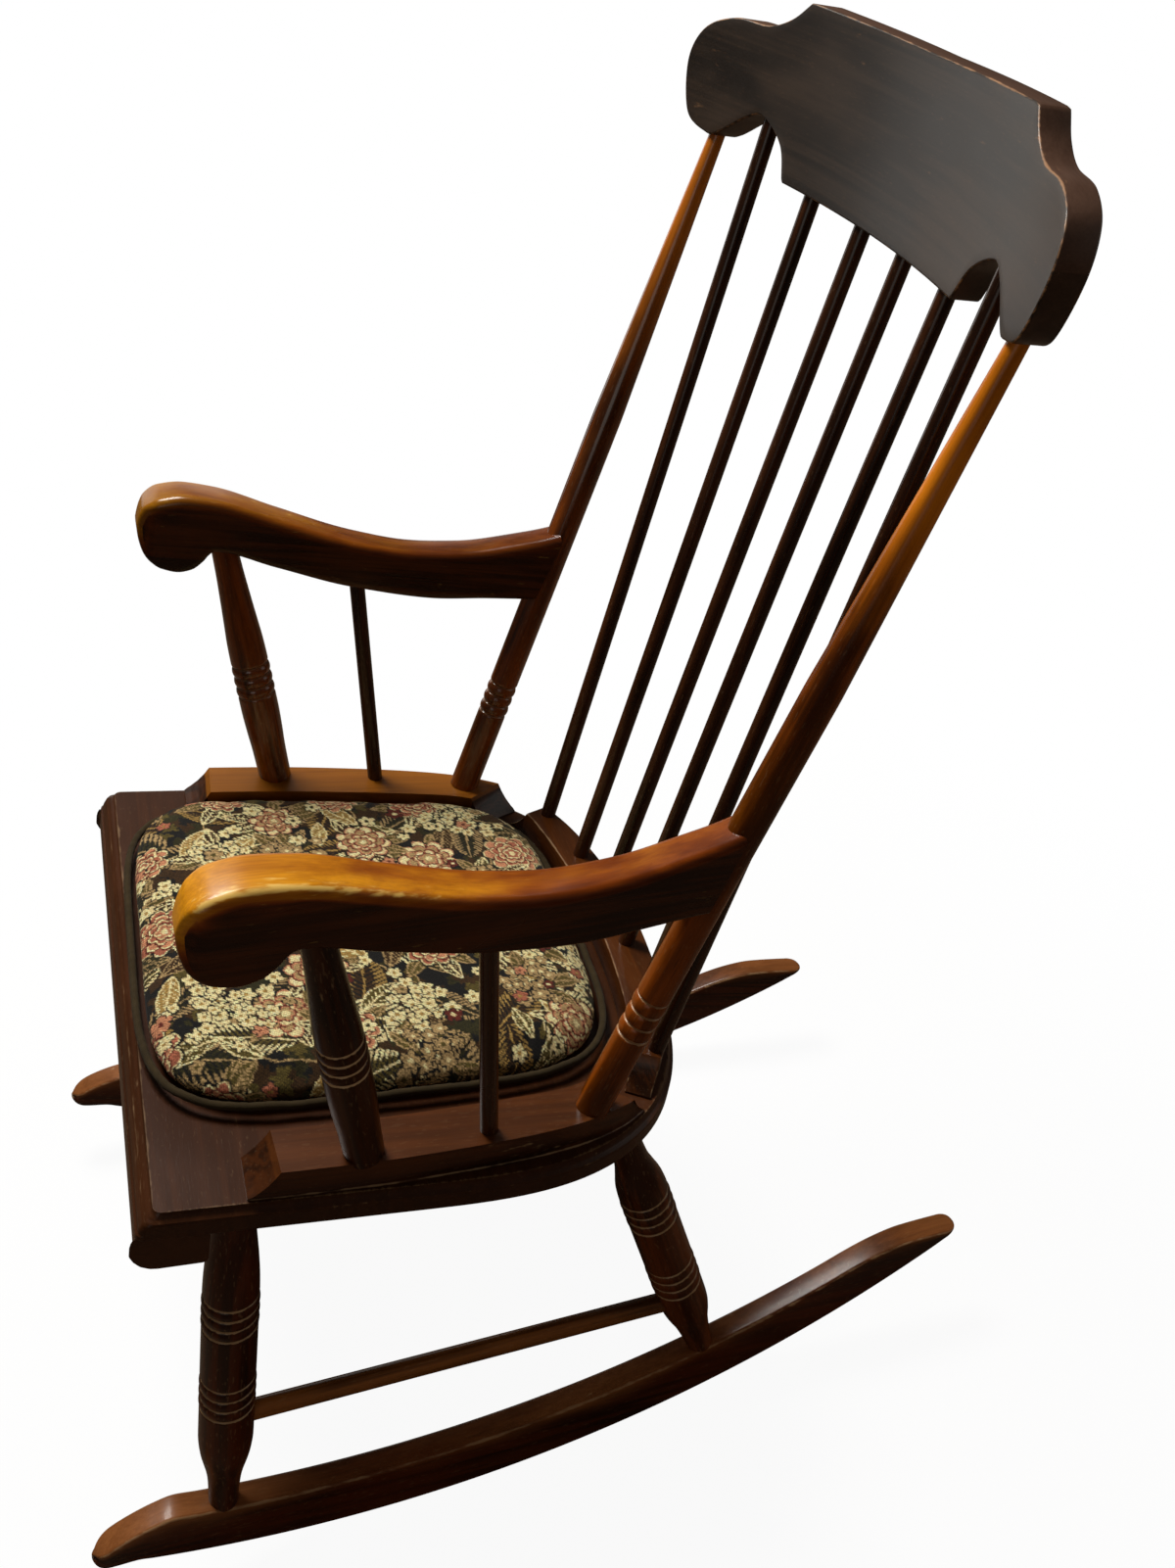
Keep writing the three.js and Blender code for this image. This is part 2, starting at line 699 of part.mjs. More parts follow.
// Arms
const armHeight = ARM_ABOVE_SEAT - ARM_DEPTH * ARM_DOWEL_SHARE;
const postAt = (z) => postFoot.clone().lerp(postHead, (z - postFoot.z) / (postHead.z - postFoot.z));
const armBack = postAt(armHeight);
const armLength = armBack.y - ARM_NOSE_Y;
const armTop = curveThrough(ARM_TOP_SHARES);
const armUnder = curveThrough(ARM_UNDER_SHARES);
const armUnderAt = (y) => ARM_ABOVE_SEAT - ARM_DEPTH * armUnder((y - ARM_NOSE_Y) / armLength);
const armShareAt = (y) => (y - ARM_POST_HEAD_Y) / (armBack.y - ARM_POST_HEAD_Y);
const armMiddleAt = (y) => THREE.MathUtils.lerp(ARM_SPREAD / 2, armBack.x, armShareAt(y));

function armRing(share) {
  const y = ARM_NOSE_Y + share * armLength;
  const top = ARM_ABOVE_SEAT - ARM_DEPTH * armTop(share);
  const under = armUnderAt(y);
  const nose = Math.max(0, 1 - (share * armLength) / ARM_NOSE_LENGTH) ** 3;
  const half = THREE.MathUtils.lerp(ARM_FRONT_WIDTH, ARM_BACK_WIDTH, armShareAt(y)) / 2 - ARM_NOSE_ROUND * nose;
  const inner = armMiddleAt(y) - half;
  const outer = armMiddleAt(y) + half;
  const most = ((top - under) / 2) * ARM_CORNER_SHARE;
  const rt = Math.min(ARM_TOP_ROUND, most);
  const ru = Math.min(ARM_UNDER_ROUND, most);
  const k = 1 - Math.SQRT1_2;
  return [
    [inner, y, under + ru],
    [inner + ru * k, y, under + ru * k],
    [inner + ru, y, under],
    [outer - ru, y, under],
    [outer - ru * k, y, under + ru * k],
    [outer, y, under + ru],
    [outer, y, top - rt],
    [outer - rt * k, y, top - rt * k],
    [outer - rt, y, top],
    [inner + rt, y, top],
    [inner + rt * k, y, top - rt * k],
    [inner, y, top - rt],
  ];
}

const armDowelFrom = armBack.clone().add(vector(0, POST_RADIUS * ARM_DOWEL_IN_POST_SHARE, 0));
const armDowelTo = armDowelFrom.clone().sub(vector(0, ARM_DOWEL_LENGTH, 0));
const armDowel = stick(
  [
    [0, ARM_DOWEL_RADIUS],
    [ARM_DOWEL_LENGTH, ARM_DOWEL_RADIUS],
  ],
  armDowelFrom,
  armDowelTo,
  DOWEL_SEGMENTS,
);
const copeSize = 2 * (ARM_DEPTH + OVERRUN);
const behindPost = {
  geometry: new THREE.BoxGeometry(copeSize, copeSize, copeSize).translate(0, copeSize / 2 - POST_RADIUS * ARM_COPE_SHARE, 0),
  matrix: new THREE.Matrix4().compose(armBack, backPost.turn, vector(1, 1, 1)),
};

// Arm posts and arm spindles
const armPostFoot = onSeat(ARM_POST_FOOT_SHARES, RAIL_HEIGHT);
const armPostHead = vector(ARM_SPREAD / 2, ARM_POST_HEAD_Y, armUnderAt(ARM_POST_HEAD_Y));
const armPostLength = armPostFoot.distanceTo(armPostHead);
const armTenon = ARM_DEPTH * ARM_TENON_SHARE;
const armPostBody = [
  [-SHOULDER_SINK, ARM_POST_RADIUS * ARM_POST_FOOT_SHARE],
  ...ARM_POST_SHARES.map(([up, radius]) => [up * armPostLength, radius * ARM_POST_RADIUS]),
  [armPostLength + SHOULDER_SINK, ARM_POST_RADIUS * ARM_POST_TOP_SHARE],
];
const armPost = stick(
  [
    [-railTenon, ARM_POST_RADIUS * ARM_POST_TENON_SHARE],
    [-SHOULDER_SINK, ARM_POST_RADIUS * ARM_POST_TENON_SHARE],
    ...grooved(armPostBody, [armPostLength * ARM_POST_GROOVE_SHARE]),
    [armPostLength + SHOULDER_SINK, ARM_POST_RADIUS * ARM_POST_TOP_TENON_SHARE],
    [armPostLength + armTenon, ARM_POST_RADIUS * ARM_POST_TOP_TENON_SHARE],
  ],
  armPostFoot,
  armPostHead,
);
const armSpindleHead = vector(armMiddleAt(ARM_SPINDLE_HEAD_Y), ARM_SPINDLE_HEAD_Y, armUnderAt(ARM_SPINDLE_HEAD_Y));
const armSpindle = dowelBetween(
  onSeat(ARM_SPINDLE_FOOT_SHARES, RAIL_HEIGHT),
  armSpindleHead,
  SPINDLE_RADIUS,
  spindleTenonRadius,
  railTenon,
  armTenon,
  SHOULDER_SINK,
);
const armTools = [behindPost, backPost.socket, armPost.socket, armSpindle.socket, armDowel.socket];
const arm = cutBy(solidOf(loft(ARM_STATION_SHARES.map(armRing))), armTools);

// Rockers: places on their arc, top edge and middle plane
const rockerArc = (y) => ROCKER_RADIUS - ROCKER_DROP - Math.sqrt(ROCKER_RADIUS ** 2 - (y - ROCKER_LOW_Y) ** 2);
const rockerY = (share) => ROCKER_FRONT_Y + share * ROCKER_LENGTH;
const rockerEdge = ([along, up]) => [rockerY(along), rockerArc(rockerY(along)) + up * ROCKER_DEPTH];
const rockerDepthAt = curveThrough(ROCKER_TOP_SHARES);
const rockerTopAt = (y) => rockerEdge([(y - ROCKER_FRONT_Y) / ROCKER_LENGTH, rockerDepthAt((y - ROCKER_FRONT_Y) / ROCKER_LENGTH)])[1];
const toe = Math.tan(radians(ROCKER_TOE_DEG));
const rockerPlaneAt = (y) => ROCKER_SPREAD / 2 - toe * (y - ROCKER_SPREAD_Y);

// Legs
function legOf(shares, headShares, footY) {
  const head = onSeat(headShares, -SEAT_THICK);
  const foot = vector(rockerPlaneAt(footY), footY, rockerTopAt(footY));
  const length = head.distanceTo(foot);
  const footTenonRadius = ROCKER_THICK * LEG_FOOT_TENON_SHARE;
  const body = [
    [-SHOULDER_SINK, LEG_RADIUS * shares[0][1]],
    ...shares.slice(1).map(([down, radius]) => [down * length, radius * LEG_RADIUS]),
    [length + SHOULDER_SINK, ROCKER_THICK * LEG_FOOT_SHARE],
  ];
  const profile = [
    [-SEAT_THICK * LEG_TENON_SHARE, LEG_RADIUS * LEG_TENON_RADIUS_SHARE],
    [-SHOULDER_SINK, LEG_RADIUS * LEG_TENON_RADIUS_SHARE],
    ...grooved(body, LEG_GROOVE_SHARES.map((share) => share * length)),
    [length + SHOULDER_SINK, footTenonRadius],
    [length + ROCKER_DEPTH * LEG_FOOT_TENON_DEPTH_SHARE, footTenonRadius],
  ];
  return { ...stick(profile, head, foot), head, foot, body };
}

const frontLeg = legOf(FRONT_LEG_SHARES, FRONT_LEG_HEAD_SHARES, FRONT_FOOT_Y);
const rearLeg = legOf(REAR_LEG_SHARES, REAR_LEG_HEAD_SHARES, REAR_FOOT_Y);

// Side stretchers, from the surface of one leg to the surface of the other
const onFrontLeg = frontLeg.head.clone().lerp(frontLeg.foot, STRETCHER_FRONT_SHARE);
const onRearLeg = rearLeg.head.clone().lerp(rearLeg.foot, STRETCHER_REAR_SHARE);
const stretcherWay = onRearLeg.clone().sub(onFrontLeg).normalize();
const frontLegRadius = radiusAt(frontLeg.body, frontLeg.head.distanceTo(onFrontLeg));
const rearLegRadius = radiusAt(rearLeg.body, rearLeg.head.distanceTo(onRearLeg));
const stretcher = dowelBetween(
  onFrontLeg.addScaledVector(stretcherWay, frontLegRadius),
  onRearLeg.addScaledVector(stretcherWay, -rearLegRadius),
  STRETCHER_RADIUS,
  STRETCHER_RADIUS * TENON_RADIUS_SHARE,
  LEG_RADIUS * STRETCHER_TENON_SHARE,
  LEG_RADIUS * STRETCHER_TENON_SHARE,
  LEG_RADIUS * STRETCHER_SINK_SHARE,
);

// Rockers: the underside is a row of flats, one of which lies level at the rest lean
const flatRadius = ROCKER_RADIUS / Math.cos(radians(ROCKER_FACET_DEG / 2));
const flatCount = Math.ceil(180 / ROCKER_FACET_DEG);
const rockerUnderside = [];
for (let i = -flatCount / 2; i <= flatCount / 2; i += 1) {
  const a = radians(REST_LEAN_DEG + (Math.floor(i) + 1 / 2) * ROCKER_FACET_DEG);
  const y = ROCKER_LOW_Y + flatRadius * Math.sin(a);
  const z = ROCKER_RADIUS - ROCKER_DROP - flatRadius * Math.cos(a);
  if (y > rockerY(ROCKER_ARC_SHARES[0]) && y < rockerY(ROCKER_ARC_SHARES[1])) rockerUnderside.push([y, z]);
}
const rockerTop = [];
const [[topFrom], [topTo]] = [ROCKER_TOP_SHARES[0], ROCKER_TOP_SHARES[ROCKER_TOP_SHARES.length - 1]];
for (let i = 0; i <= ROCKER_TOP_STEPS; i += 1) {
  const along = topFrom + ((topTo - topFrom) * i) / ROCKER_TOP_STEPS;
  rockerTop.push(rockerEdge([along, rockerDepthAt(along)]));
}
const rockerSide = [
  ...rockerUnderside,
  ...ROCKER_REAR_TIP_SHARES.map(rockerEdge).reverse(),
  ...rockerTop.reverse(),
  ...ROCKER_FRONT_TIP_SHARES.map(rockerEdge).reverse(),
];
const rockerPlan = [];
for (const end of [1, -1]) {
  for (let i = -ROCKER_NOSE_STEPS; i <= ROCKER_NOSE_STEPS; i += 1) {
    const a = ((i / ROCKER_NOSE_STEPS) * Math.PI) / 2;
    const back = ROCKER_NOSE_LENGTH * (1 - Math.cos(a));
    const y = end === 1 ? ROCKER_FRONT_Y + back : ROCKER_FRONT_Y + ROCKER_LENGTH - back;
    rockerPlan.push([(end * ROCKER_THICK * Math.sin(a)) / 2, y]);
  }
}
const rockerHeight = 2 * ROCKER_RADIUS;
const rounded = prism(rockerPlan, rockerHeight).translate(0, 0, -rockerHeight / 2);
// The rocker toes out by a shear across X, which keeps its flats level.
const toeOut = new THREE.Matrix4().makeShear(0, 0, -toe, 0, 0, 0).setPosition(rockerPlaneAt(0), 0, 0);
const rockerBlank = solidOf(geometryOf(solidOf(prismAcross(rockerSide, ROCKER_THICK)).intersect(solidOf(rounded))), toeOut);

// Sockets
const legSockets = [frontLeg.socket, rearLeg.socket];
const spindleSockets = spindles.map((s) => s.socket);
const seat = cutBy(seatBoard, legSockets, true);
const rocker = cutBy(rockerBlank, legSockets);
const sideRail = cutBy(sideRailBlank, [armPost.socket, armSpindle.socket, backPost.socket]);
const backRail = cutBy(backRailBlank, spindleSockets, true);
const crest = cutBy(crestBlank, [...spindleSockets, backPost.socket], true);

// A stick with another stick's socket cut in it, in its own frame
function socketed(host, guest) {
  const matrix = host.matrix.clone().invert().multiply(guest.matrix);
  return geometryOf(cutBy(solidOf(host.geometry), [{ geometry: guest.socket.geometry, matrix }]));
}

// Seat pad: a rounded square, a little narrower at the back, that lies askew between the rails
const railInside = seatHalf * SIDE_RAIL_INNER_SHARES[SIDE_RAIL_INNER_SHARES.length - 1][0];
const backRailInside = seatLength * BACK_RAIL_INNER_SHARES[BACK_RAIL_INNER_SHARES.length - 1][1];
const padHalfWidth = railInside - PAD_SIDE_GAP;
const padHalfLength = (backRailInside - PAD_REAR_GAP + PAD_FRONT_OVERHANG) / 2;
function padRing(inset, size, z) {
  const ring = [];
  for (let i = 0; i < PAD_STEPS; i += 1) {
    const a = (i / PAD_STEPS) * 2 * Math.PI;
    const power = 2 / (Math.sin(a) < 0 ? PAD_FRONT_POWER : PAD_REAR_POWER);
    const back = Math.sign(Math.sin(a)) * Math.abs(Math.sin(a)) ** power;
    const across = Math.sign(Math.cos(a)) * Math.abs(Math.cos(a)) ** power * (1 - PAD_TAPER_SHARE * back);
    ring.push([(padHalfWidth - inset) * across * size, (padHalfLength - inset) * back * size, z]);
  }
  return ring;
}

const padInset = 2 * PIPING_RADIUS + 1.5 * FIT_GAP;
const pad = loft(PAD_LAYER_SHARES.map(([up, size]) => padRing(padInset, size, up * PAD_THICK)));
const pipingRings = Array.from({ length: PIPING_SIDES }, (_, i) => {
  const a = (i / PIPING_SIDES) * 2 * Math.PI;
  return padRing(PIPING_RADIUS * (1 - Math.cos(a)), 1, PAD_THICK * PAD_SEAM_SHARE + PIPING_RADIUS * Math.sin(a));
});
const piping = loft(pipingRings, true);

// Assembly
const chair = new THREE.Group();
chair.name = "boston_rocking_chair";
const rightSide = new THREE.Group();
const leftSide = new THREE.Group();
leftSide.scale.x = -1;
const padPlace = new THREE.Group();
padPlace.position.set(-PAD_SIDE_GAP * PAD_SLIP_SHARE, padHalfLength - PAD_FRONT_OVERHANG, 2 * FIT_GAP);
padPlace.rotation.z = radians(PAD_TURN_DEG);
chair.add(rightSide, leftSide, padPlace);

function add(group, name, geometry, material, place) {
  const mesh = new THREE.Mesh(geometry, material);
  mesh.name = name;
  if (place) {
    mesh.position.copy(place.position);
    mesh.quaternion.copy(place.turn);
  }
  group.add(mesh);
}

function addPair(name, geometry, material, place) {
  add(rightSide, `${name}_right`, geometry, material, place);
  add(leftSide, `${name}_left`, geometry, material, place);
}

add(chair, "seat", geometryOf(seat), SEAT_WOOD);
add(chair, "seat_front_roll", frontRoll, SEAT_WOOD);
addPair("side_rail", geometryOf(sideRail), RAIL_WOOD);
add(chair, "back_rail", geometryOf(backRail), RAIL_WOOD);
addPair("back_post", socketed(backPost, armDowel), TURNED_WOOD, backPost);
spindles.forEach((spindle, i) => {
  add(leftSide, `back_spindle_${spindles.length - i}`, spindle.geometry, SPINDLE_WOOD, spindle);
  add(rightSide, `back_spindle_${spindles.length + 1 + i}`, spindle.geometry, SPINDLE_WOOD, spindle);
});
add(chair, "crest_rail", geometryOf(crest), CREST_WOOD);
addPair("arm", geometryOf(arm), ARM_WOOD);
addPair("arm_dowel", armDowel.geometry, PLAIN_WOOD, armDowel);
addPair("arm_post", armPost.geometry, TURNED_WOOD, armPost);
addPair("arm_spindle", armSpindle.geometry, SPINDLE_WOOD, armSpindle);
addPair("leg_front", socketed(frontLeg, stretcher), LEG_WOOD, frontLeg);
addPair("leg_rear", socketed(rearLeg, stretcher), LEG_WOOD, rearLeg);
addPair("stretcher", stretcher.geometry, LEG_WOOD, stretcher);
addPair("rocker", geometryOf(rocker), LEG_WOOD);
add(padPlace, "seat_pad", pad, PAD_CLOTH);
add(padPlace, "seat_pad_piping", piping, PIPING_CLOTH);

// Rest pose: lean back about the rockers' centre, then stand on the floor over the footprint's middle
const lean = radians(REST_LEAN_DEG);
const centre = vector(0, ROCKER_LOW_Y, ROCKER_RADIUS - ROCKER_DROP).applyAxisAngle(vector(1, 0, 0), -lean);
chair.rotation.x = -lean;
chair.position.set(0, -centre.y, ROCKER_RADIUS - centre.z);
const footprint = new THREE.Box3().setFromObject(chair, true);
chair.position.y -= (footprint.min.y + footprint.max.y) / 2;

export default chair;
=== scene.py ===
"""Boston rocking chair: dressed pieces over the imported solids, in metres, in the part's own frame."""

import math
from functools import partial

import bmesh
import bpy
import numpy as np
from mathutils import Matrix, Vector


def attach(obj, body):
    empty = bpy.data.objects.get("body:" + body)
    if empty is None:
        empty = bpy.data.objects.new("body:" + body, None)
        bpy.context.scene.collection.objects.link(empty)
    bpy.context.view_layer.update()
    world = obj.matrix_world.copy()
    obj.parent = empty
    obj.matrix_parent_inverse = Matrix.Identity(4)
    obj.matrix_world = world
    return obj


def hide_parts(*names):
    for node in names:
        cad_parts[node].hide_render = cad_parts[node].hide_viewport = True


bl_info = {
    "name": "Boston Rocking Chair",
    "version": (1, 0, 0),
    "blender": (4, 5, 0),
    "location": "View3D > Sidebar > Rocking Chair",
    "description": "Builds the chair's turned, sawn and padded pieces with their worn walnut finish",
    "category": "Add Mesh",
}

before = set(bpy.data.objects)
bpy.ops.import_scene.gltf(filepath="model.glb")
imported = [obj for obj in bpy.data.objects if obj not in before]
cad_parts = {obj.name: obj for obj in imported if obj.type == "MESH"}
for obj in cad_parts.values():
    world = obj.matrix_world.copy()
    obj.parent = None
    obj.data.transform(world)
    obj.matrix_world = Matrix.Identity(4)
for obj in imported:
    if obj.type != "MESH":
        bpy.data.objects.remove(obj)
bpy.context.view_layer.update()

# The chair is drawn with its seat level, in millimetres: y = 0 at the seat's front edge, z = 0 at the seat's top.
MM = 1000.0
LEAN = math.radians(11.05)
STAND = np.array([0.0, -279.935, 421.556])
SIDES = {"right": 1, "left": -1}

SEAT_HALF = 255.5
SEAT_LENGTH = 429.5
SEAT_THICK = 22.5
SEAT_BACK_Y = 190.0
SEAT_BACK_POWER = 2 / 2.83
SEAT_CORNER = 6.0
SEAT_CENTRE = np.array([0.0, 214.0])
SEAT_INSET = 5.0
SEAT_NOSING = 11.4
ROLL_SIZE = np.array([47.0, -24.6])
ROLL_HALF_LENGTH = 253.0
RAIL_HEIGHT = 25.0
RAIL_COVE = 19.5
# The gap that keeps two faces apart, how far a stick sinks in, and the distance within which points are one (metres).
GAP = 0.3
SINK = 2.0
WELD = 2e-6

CREST_HALF = 296.5
CREST_HEIGHT = 130.6
CREST_HALF_THICK = 11.5
CREST_BOW = 850.0
CREST_Y = 496.0
CREST_Z = 631.0
CREST_TILT = math.tan(math.radians(5.5))
CREST_POST_SHARE = 0.856

ARM_Z = 294.4
ARM_DEPTH = 79.0
ARM_AXIS_SHARE = 0.51
ARM_NOSE_Y = 4.4
ARM_POST_Y, ARM_SPINDLE_Y = 83.0, 199.5
ARM_SPREAD = 535.0
ARM_WIDTHS = 40, 30.5

BACK_POST_RADII = 12.9, 6.6
ARM_POST_RADIUS = 16.7
SPINDLE = 6.7, 4.96, 16.5
LEG_RADIUS = 20.6
STRETCHER = 8.0, 5.9, 12, 12
STRETCHER_SHARES = {"front": 0.711, "rear": 0.785}
GROOVE_PITCH = 10.0

ROCKER_RADIUS = 883.0
ROCKER_DROP = 380.5
ROCKER_LOW_Y = 165.6
ROCKER_FRONT_Y = -28.6
ROCKER_LENGTH = 738.2
ROCKER_DEPTH = 49.0
ROCKER_HALF_THICK = 11.5
ROCKER_TOE = math.tan(math.radians(5.26))
ROCKER_PLANE_X, ROCKER_PLANE_Y = 220.0, 267.4

PAD_CENTRE = (-14.04, 185.1)
PAD_HALF = (187.65, 187.7)
PAD_TURN = math.radians(-0.9)
PAD_POWERS = 4.73, 4.43
PAD_TAPER = 0.052
PAD_FLOOR = 0.6
PAD_SEAM = 9.9
PAD_COVER = 2.5
PAD_CELL = 0.0048
PAD_ROUND = 190
FILL_STEPS = 20
CLOTH_WIDTH = 430
PIPING_RADIUS = 3.0
PIPING_POINTS = 560
PIPING_INSET = 0.4


# ---------------------------------------------------------------- shapes


def to_row(points):
    """Seat frame in millimetres to the part's frame in metres: a lean back about X, then a move."""
    x, y, z = np.moveaxis(np.asarray(points, float), -1, 0)
    c, s = math.cos(LEAN), math.sin(LEAN)
    return (np.stack([x, y * c + z * s, z * c - y * s], -1) + STAND) / MM


def to_seat(points):
    """The part's frame in metres back to the seat frame in millimetres."""
    x, y, z = np.moveaxis(np.asarray(points, float) * MM - STAND, -1, 0)
    c, s = math.cos(LEAN), math.sin(LEAN)
    return np.stack([x, y * c - z * s, y * s + z * c], -1)


def smooth(at, xs, ys):
    """A cubic Hermite curve through (xs, ys), its slopes limited so that it never overshoots, read at each place."""
    xs, ys, at = (np.asarray(v, float) for v in (xs, ys, at))
    step = np.diff(xs)
    slope = np.diff(ys) / step
    before, after = slope[:-1], slope[1:]
    harmonic = 2 / (1 / np.where(before, before, 1) + 1 / np.where(after, after, 1))
    tangent = np.concatenate([slope[:1], np.where(before * after > 0, harmonic, 0), slope[-1:]])
    i = np.clip(np.searchsorted(xs, at, side="right") - 1, 0, len(xs) - 2)
    t = np.clip((at - xs[i]) / step[i], 0, 1)
    h00, h10 = (1 + 2 * t) * (1 - t) ** 2, t * (1 - t) ** 2
    h01, h11 = t * t * (3 - 2 * t), t * t * (t - 1)
    return h00 * ys[i] + h10 * step[i] * tangent[i] + h01 * ys[i + 1] + h11 * step[i] * tangent[i + 1]


def path_through(points, count=40):
    """A Catmull-Rom path through 2-D points: each span blends its two ends and the chords beside them."""
    p = np.asarray(points, float)
    p = np.vstack([2 * p[0] - p[1], p, 2 * p[-1] - p[-2]])
    t = np.linspace(0, 1, count, endpoint=False)[None, :, None]
    a, b, c, d = (p[k : len(p) - 3 + k, None] for k in range(4))
    spans = 0.5 * (2 * b + (c - a) * t + (2 * a - 5 * b + 4 * c - d) * t**2 + (3 * b - a - 3 * c + d) * t**3)
    return np.vstack([spans.reshape(-1, 2), p[-2]])


def run_along(path):
    """Distance run along a path at each of its points."""
    return np.concatenate([[0], np.cumsum(np.linalg.norm(np.diff(path, axis=0), axis=1))])


def even(path, places):
    """Points of a path at shares of its length."""
    path = np.asarray(path, float)
    run = run_along(path)
    run /= run[-1]
    return np.stack([np.interp(places, run, path[:, k]) for k in range(path.shape[1])], -1)


def crowded(count, power):
    """Shares from 0 to 1 that crowd towards both ends, as a cosine does."""
    t = np.linspace(0, 1, count)
    return (1 - power) * t + power * (1 - np.cos(math.pi * t)) / 2


def add_layer(mesh, label, values, kind="VECTOR"):
    """Writes one vector or colour on each point of a mesh."""
    layer = mesh.attributes.new(label, "FLOAT_" + kind, "POINT")
    layer.data.foreach_set(kind.lower(), np.ascontiguousarray(values, np.float32).reshape(-1))


def build_mesh(name, grid, grain=None, marks=None, wrap_rows=False):
    """A closed skin over a grid of points, rows by columns, whose columns wrap round.

    Rows that shrink to a point become poles. grain places the wood, and marks holds arris, groove, and rubbing
    together with painted light."""
    rows, cols = grid.shape[:2]
    i = np.arange(rows if wrap_rows else rows - 1)[:, None]
    j = np.arange(cols)[None, :]
    low, high, after = i * cols, ((i + 1) % rows) * cols, (j + 1) % cols
    faces = np.stack(np.broadcast_arrays(low + j, low + after, high + after, high + j), -1).reshape(-1, 4)
    mesh = bpy.data.meshes.new(name)
    mesh.from_pydata(to_row(grid).reshape(-1, 3).tolist(), [], faces.tolist())
    for label, values in (("grain", grain), ("marks", marks)):
        add_layer(mesh, label, np.zeros(grid.shape) if values is None else values)
    work = bmesh.new()
    work.from_mesh(mesh)
    bmesh.ops.remove_doubles(work, verts=work.verts, dist=WELD)
    bmesh.ops.recalc_face_normals(work, faces=work.faces)
    work.to_mesh(mesh)
    work.free()
    return mesh


def add_piece(name, mesh, material, slot, nodes=None, sharp=38):
    """Puts a finished mesh in the scene in place of its CAD nodes: those named, or the one that it is named after."""
    nodes = nodes or [name.removesuffix("_dressed")]
    mesh.polygons.foreach_set("use_smooth", np.ones(len(mesh.polygons), bool))
    mesh.set_sharp_from_angle(angle=math.radians(sharp))
    piece = bpy.data.objects.new(name, mesh)
    bpy.context.scene.collection.objects.link(piece)
    mesh.materials.append(material)
    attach(piece, "root")
    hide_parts(*nodes)
    return piece


def dress(name, shape, finish, slot, sign=1, **more):
    """Adds a wooden piece from a shape of grid, grain and marks, mirrored where sign is -1."""
    grid, grain, marks = shape
    add_piece(name, build_mesh(name, grid * [sign, 1, 1], grain, marks), wood_of(finish), slot, **more)


def mirrored(point, side):
    """A point on the right or left side."""
    return np.asarray(point) * [SIDES[side], 1, 1]


def turned(profile, start, end, side, seed, segments, grooves=None, worn_and_lit=None):
    """A surface of revolution: radius r(z) carried round the line from start to end.

    profile is rows of (z, r), grooves is where sets of grooves start and their pitch, and the last argument gives by z
    how much lighter the finish is, for wear and painted light."""
    start, end = (np.asarray(mirrored(p, side), float) for p in (start, end))
    axis = (end - start) / np.linalg.norm(end - start)
    across = np.cross(axis, [0, 1, 0] if abs(axis[0]) > 0.9 else [1, 0, 0])
    across /= np.linalg.norm(across)
    other = np.cross(axis, across)
    z, r = np.asarray(profile, float).T
    z, r = np.concatenate([z[:1], z, z[-1:]]), np.concatenate([[0], r, [0]])
    angle = np.linspace(0, 2 * math.pi, segments, endpoint=False)
    ring = np.cos(angle)[:, None] * across + np.sin(angle)[:, None] * other
    grid = start + z[:, None, None] * axis + r[:, None, None] * ring[None]
    local = np.broadcast_arrays(r[:, None] * np.cos(angle), r[:, None] * np.sin(angle), z[:, None])
    grain = np.stack(local, -1) / MM + np.random.default_rng(seed).uniform(1, 9, 3)
    marks = np.zeros(grid.shape)
    if grooves:
        marks[..., 1] = groove_line(z, *grooves)[:, None]
    if worn_and_lit:
        marks[..., 2] = worn_and_lit(z)[:, None]
    return grid, grain, marks


def dowel_profile(length, radius, tenon, first, second, sink=SINK):
    """A straight dowel that narrows to a tenon at each end, with softened shoulders."""
    ease = min(0.8, radius * 0.15)
    return [(-first, tenon), (-sink, tenon), (-sink, radius - ease), (-sink + ease, radius),
            *[(z, radius) for z in np.linspace(ease, length - ease, 24)],
            (length + sink - ease, radius), (length + sink, radius - ease), (length + sink, tenon),
            (length + second, tenon)]


def from_groove(z, starts, pitch):
    """Distance from each z to the nearest groove, in sets of four grooves."""
    middles = np.array([s + k * pitch for s in starts for k in range(4)])
    return np.abs(np.asarray(z, float)[:, None] - middles[None]).min(1)


def groove_depth(z, starts, pitch, depth=1.5, proud=0.5, outer=2.6):
    """How deep the grooves are at each z: from groove to groove runs a half-elliptic bead, a little proud."""
    z = np.asarray(z, float)
    bead = np.any([(z > s) & (z < s + 3 * pitch) for s in starts], axis=0)
    near = np.clip(from_groove(z, starts, pitch) / np.where(bead, pitch / 2, outer), 0, 1)
    return (depth + proud * bead) * (1 - np.sqrt(1 - (1 - near) ** 2)) - proud * bead * near ** 0.3


def groove_line(z, starts, pitch):
    """The thin line of scraped wood along each groove: 1 in its middle, 0 from 1.7 mm on."""
    return np.clip(1 - from_groove(z, starts, pitch) / 1.7, 0, 1)


def grooved_stick(length, radius, starts, pitch, foot, head):
    """A stick's profile between the rows of its tenons: its own radius less its grooves.

    It has a row every 5 mm, and every 0.5 mm across the grooves."""
    rows = [np.arange(-SINK, length + SINK, 5.0), [length + SINK]]
    rows += [np.arange(s - 3.5, s + 3 * pitch + 3.6, 0.5) for s in starts]
    z = np.unique(np.concatenate(rows).round(3))
    return [*foot, *zip(z, radius(z) - groove_depth(z, starts, pitch)), *head]


def outward(edge):
    """Unit normals on the right hand of a 2-D line of points."""
    along = np.gradient(edge, axis=0)
    return np.stack([along[:, 1], -along[:, 0]], -1) / np.maximum(np.linalg.norm(along, axis=1), 1e-9)[:, None]


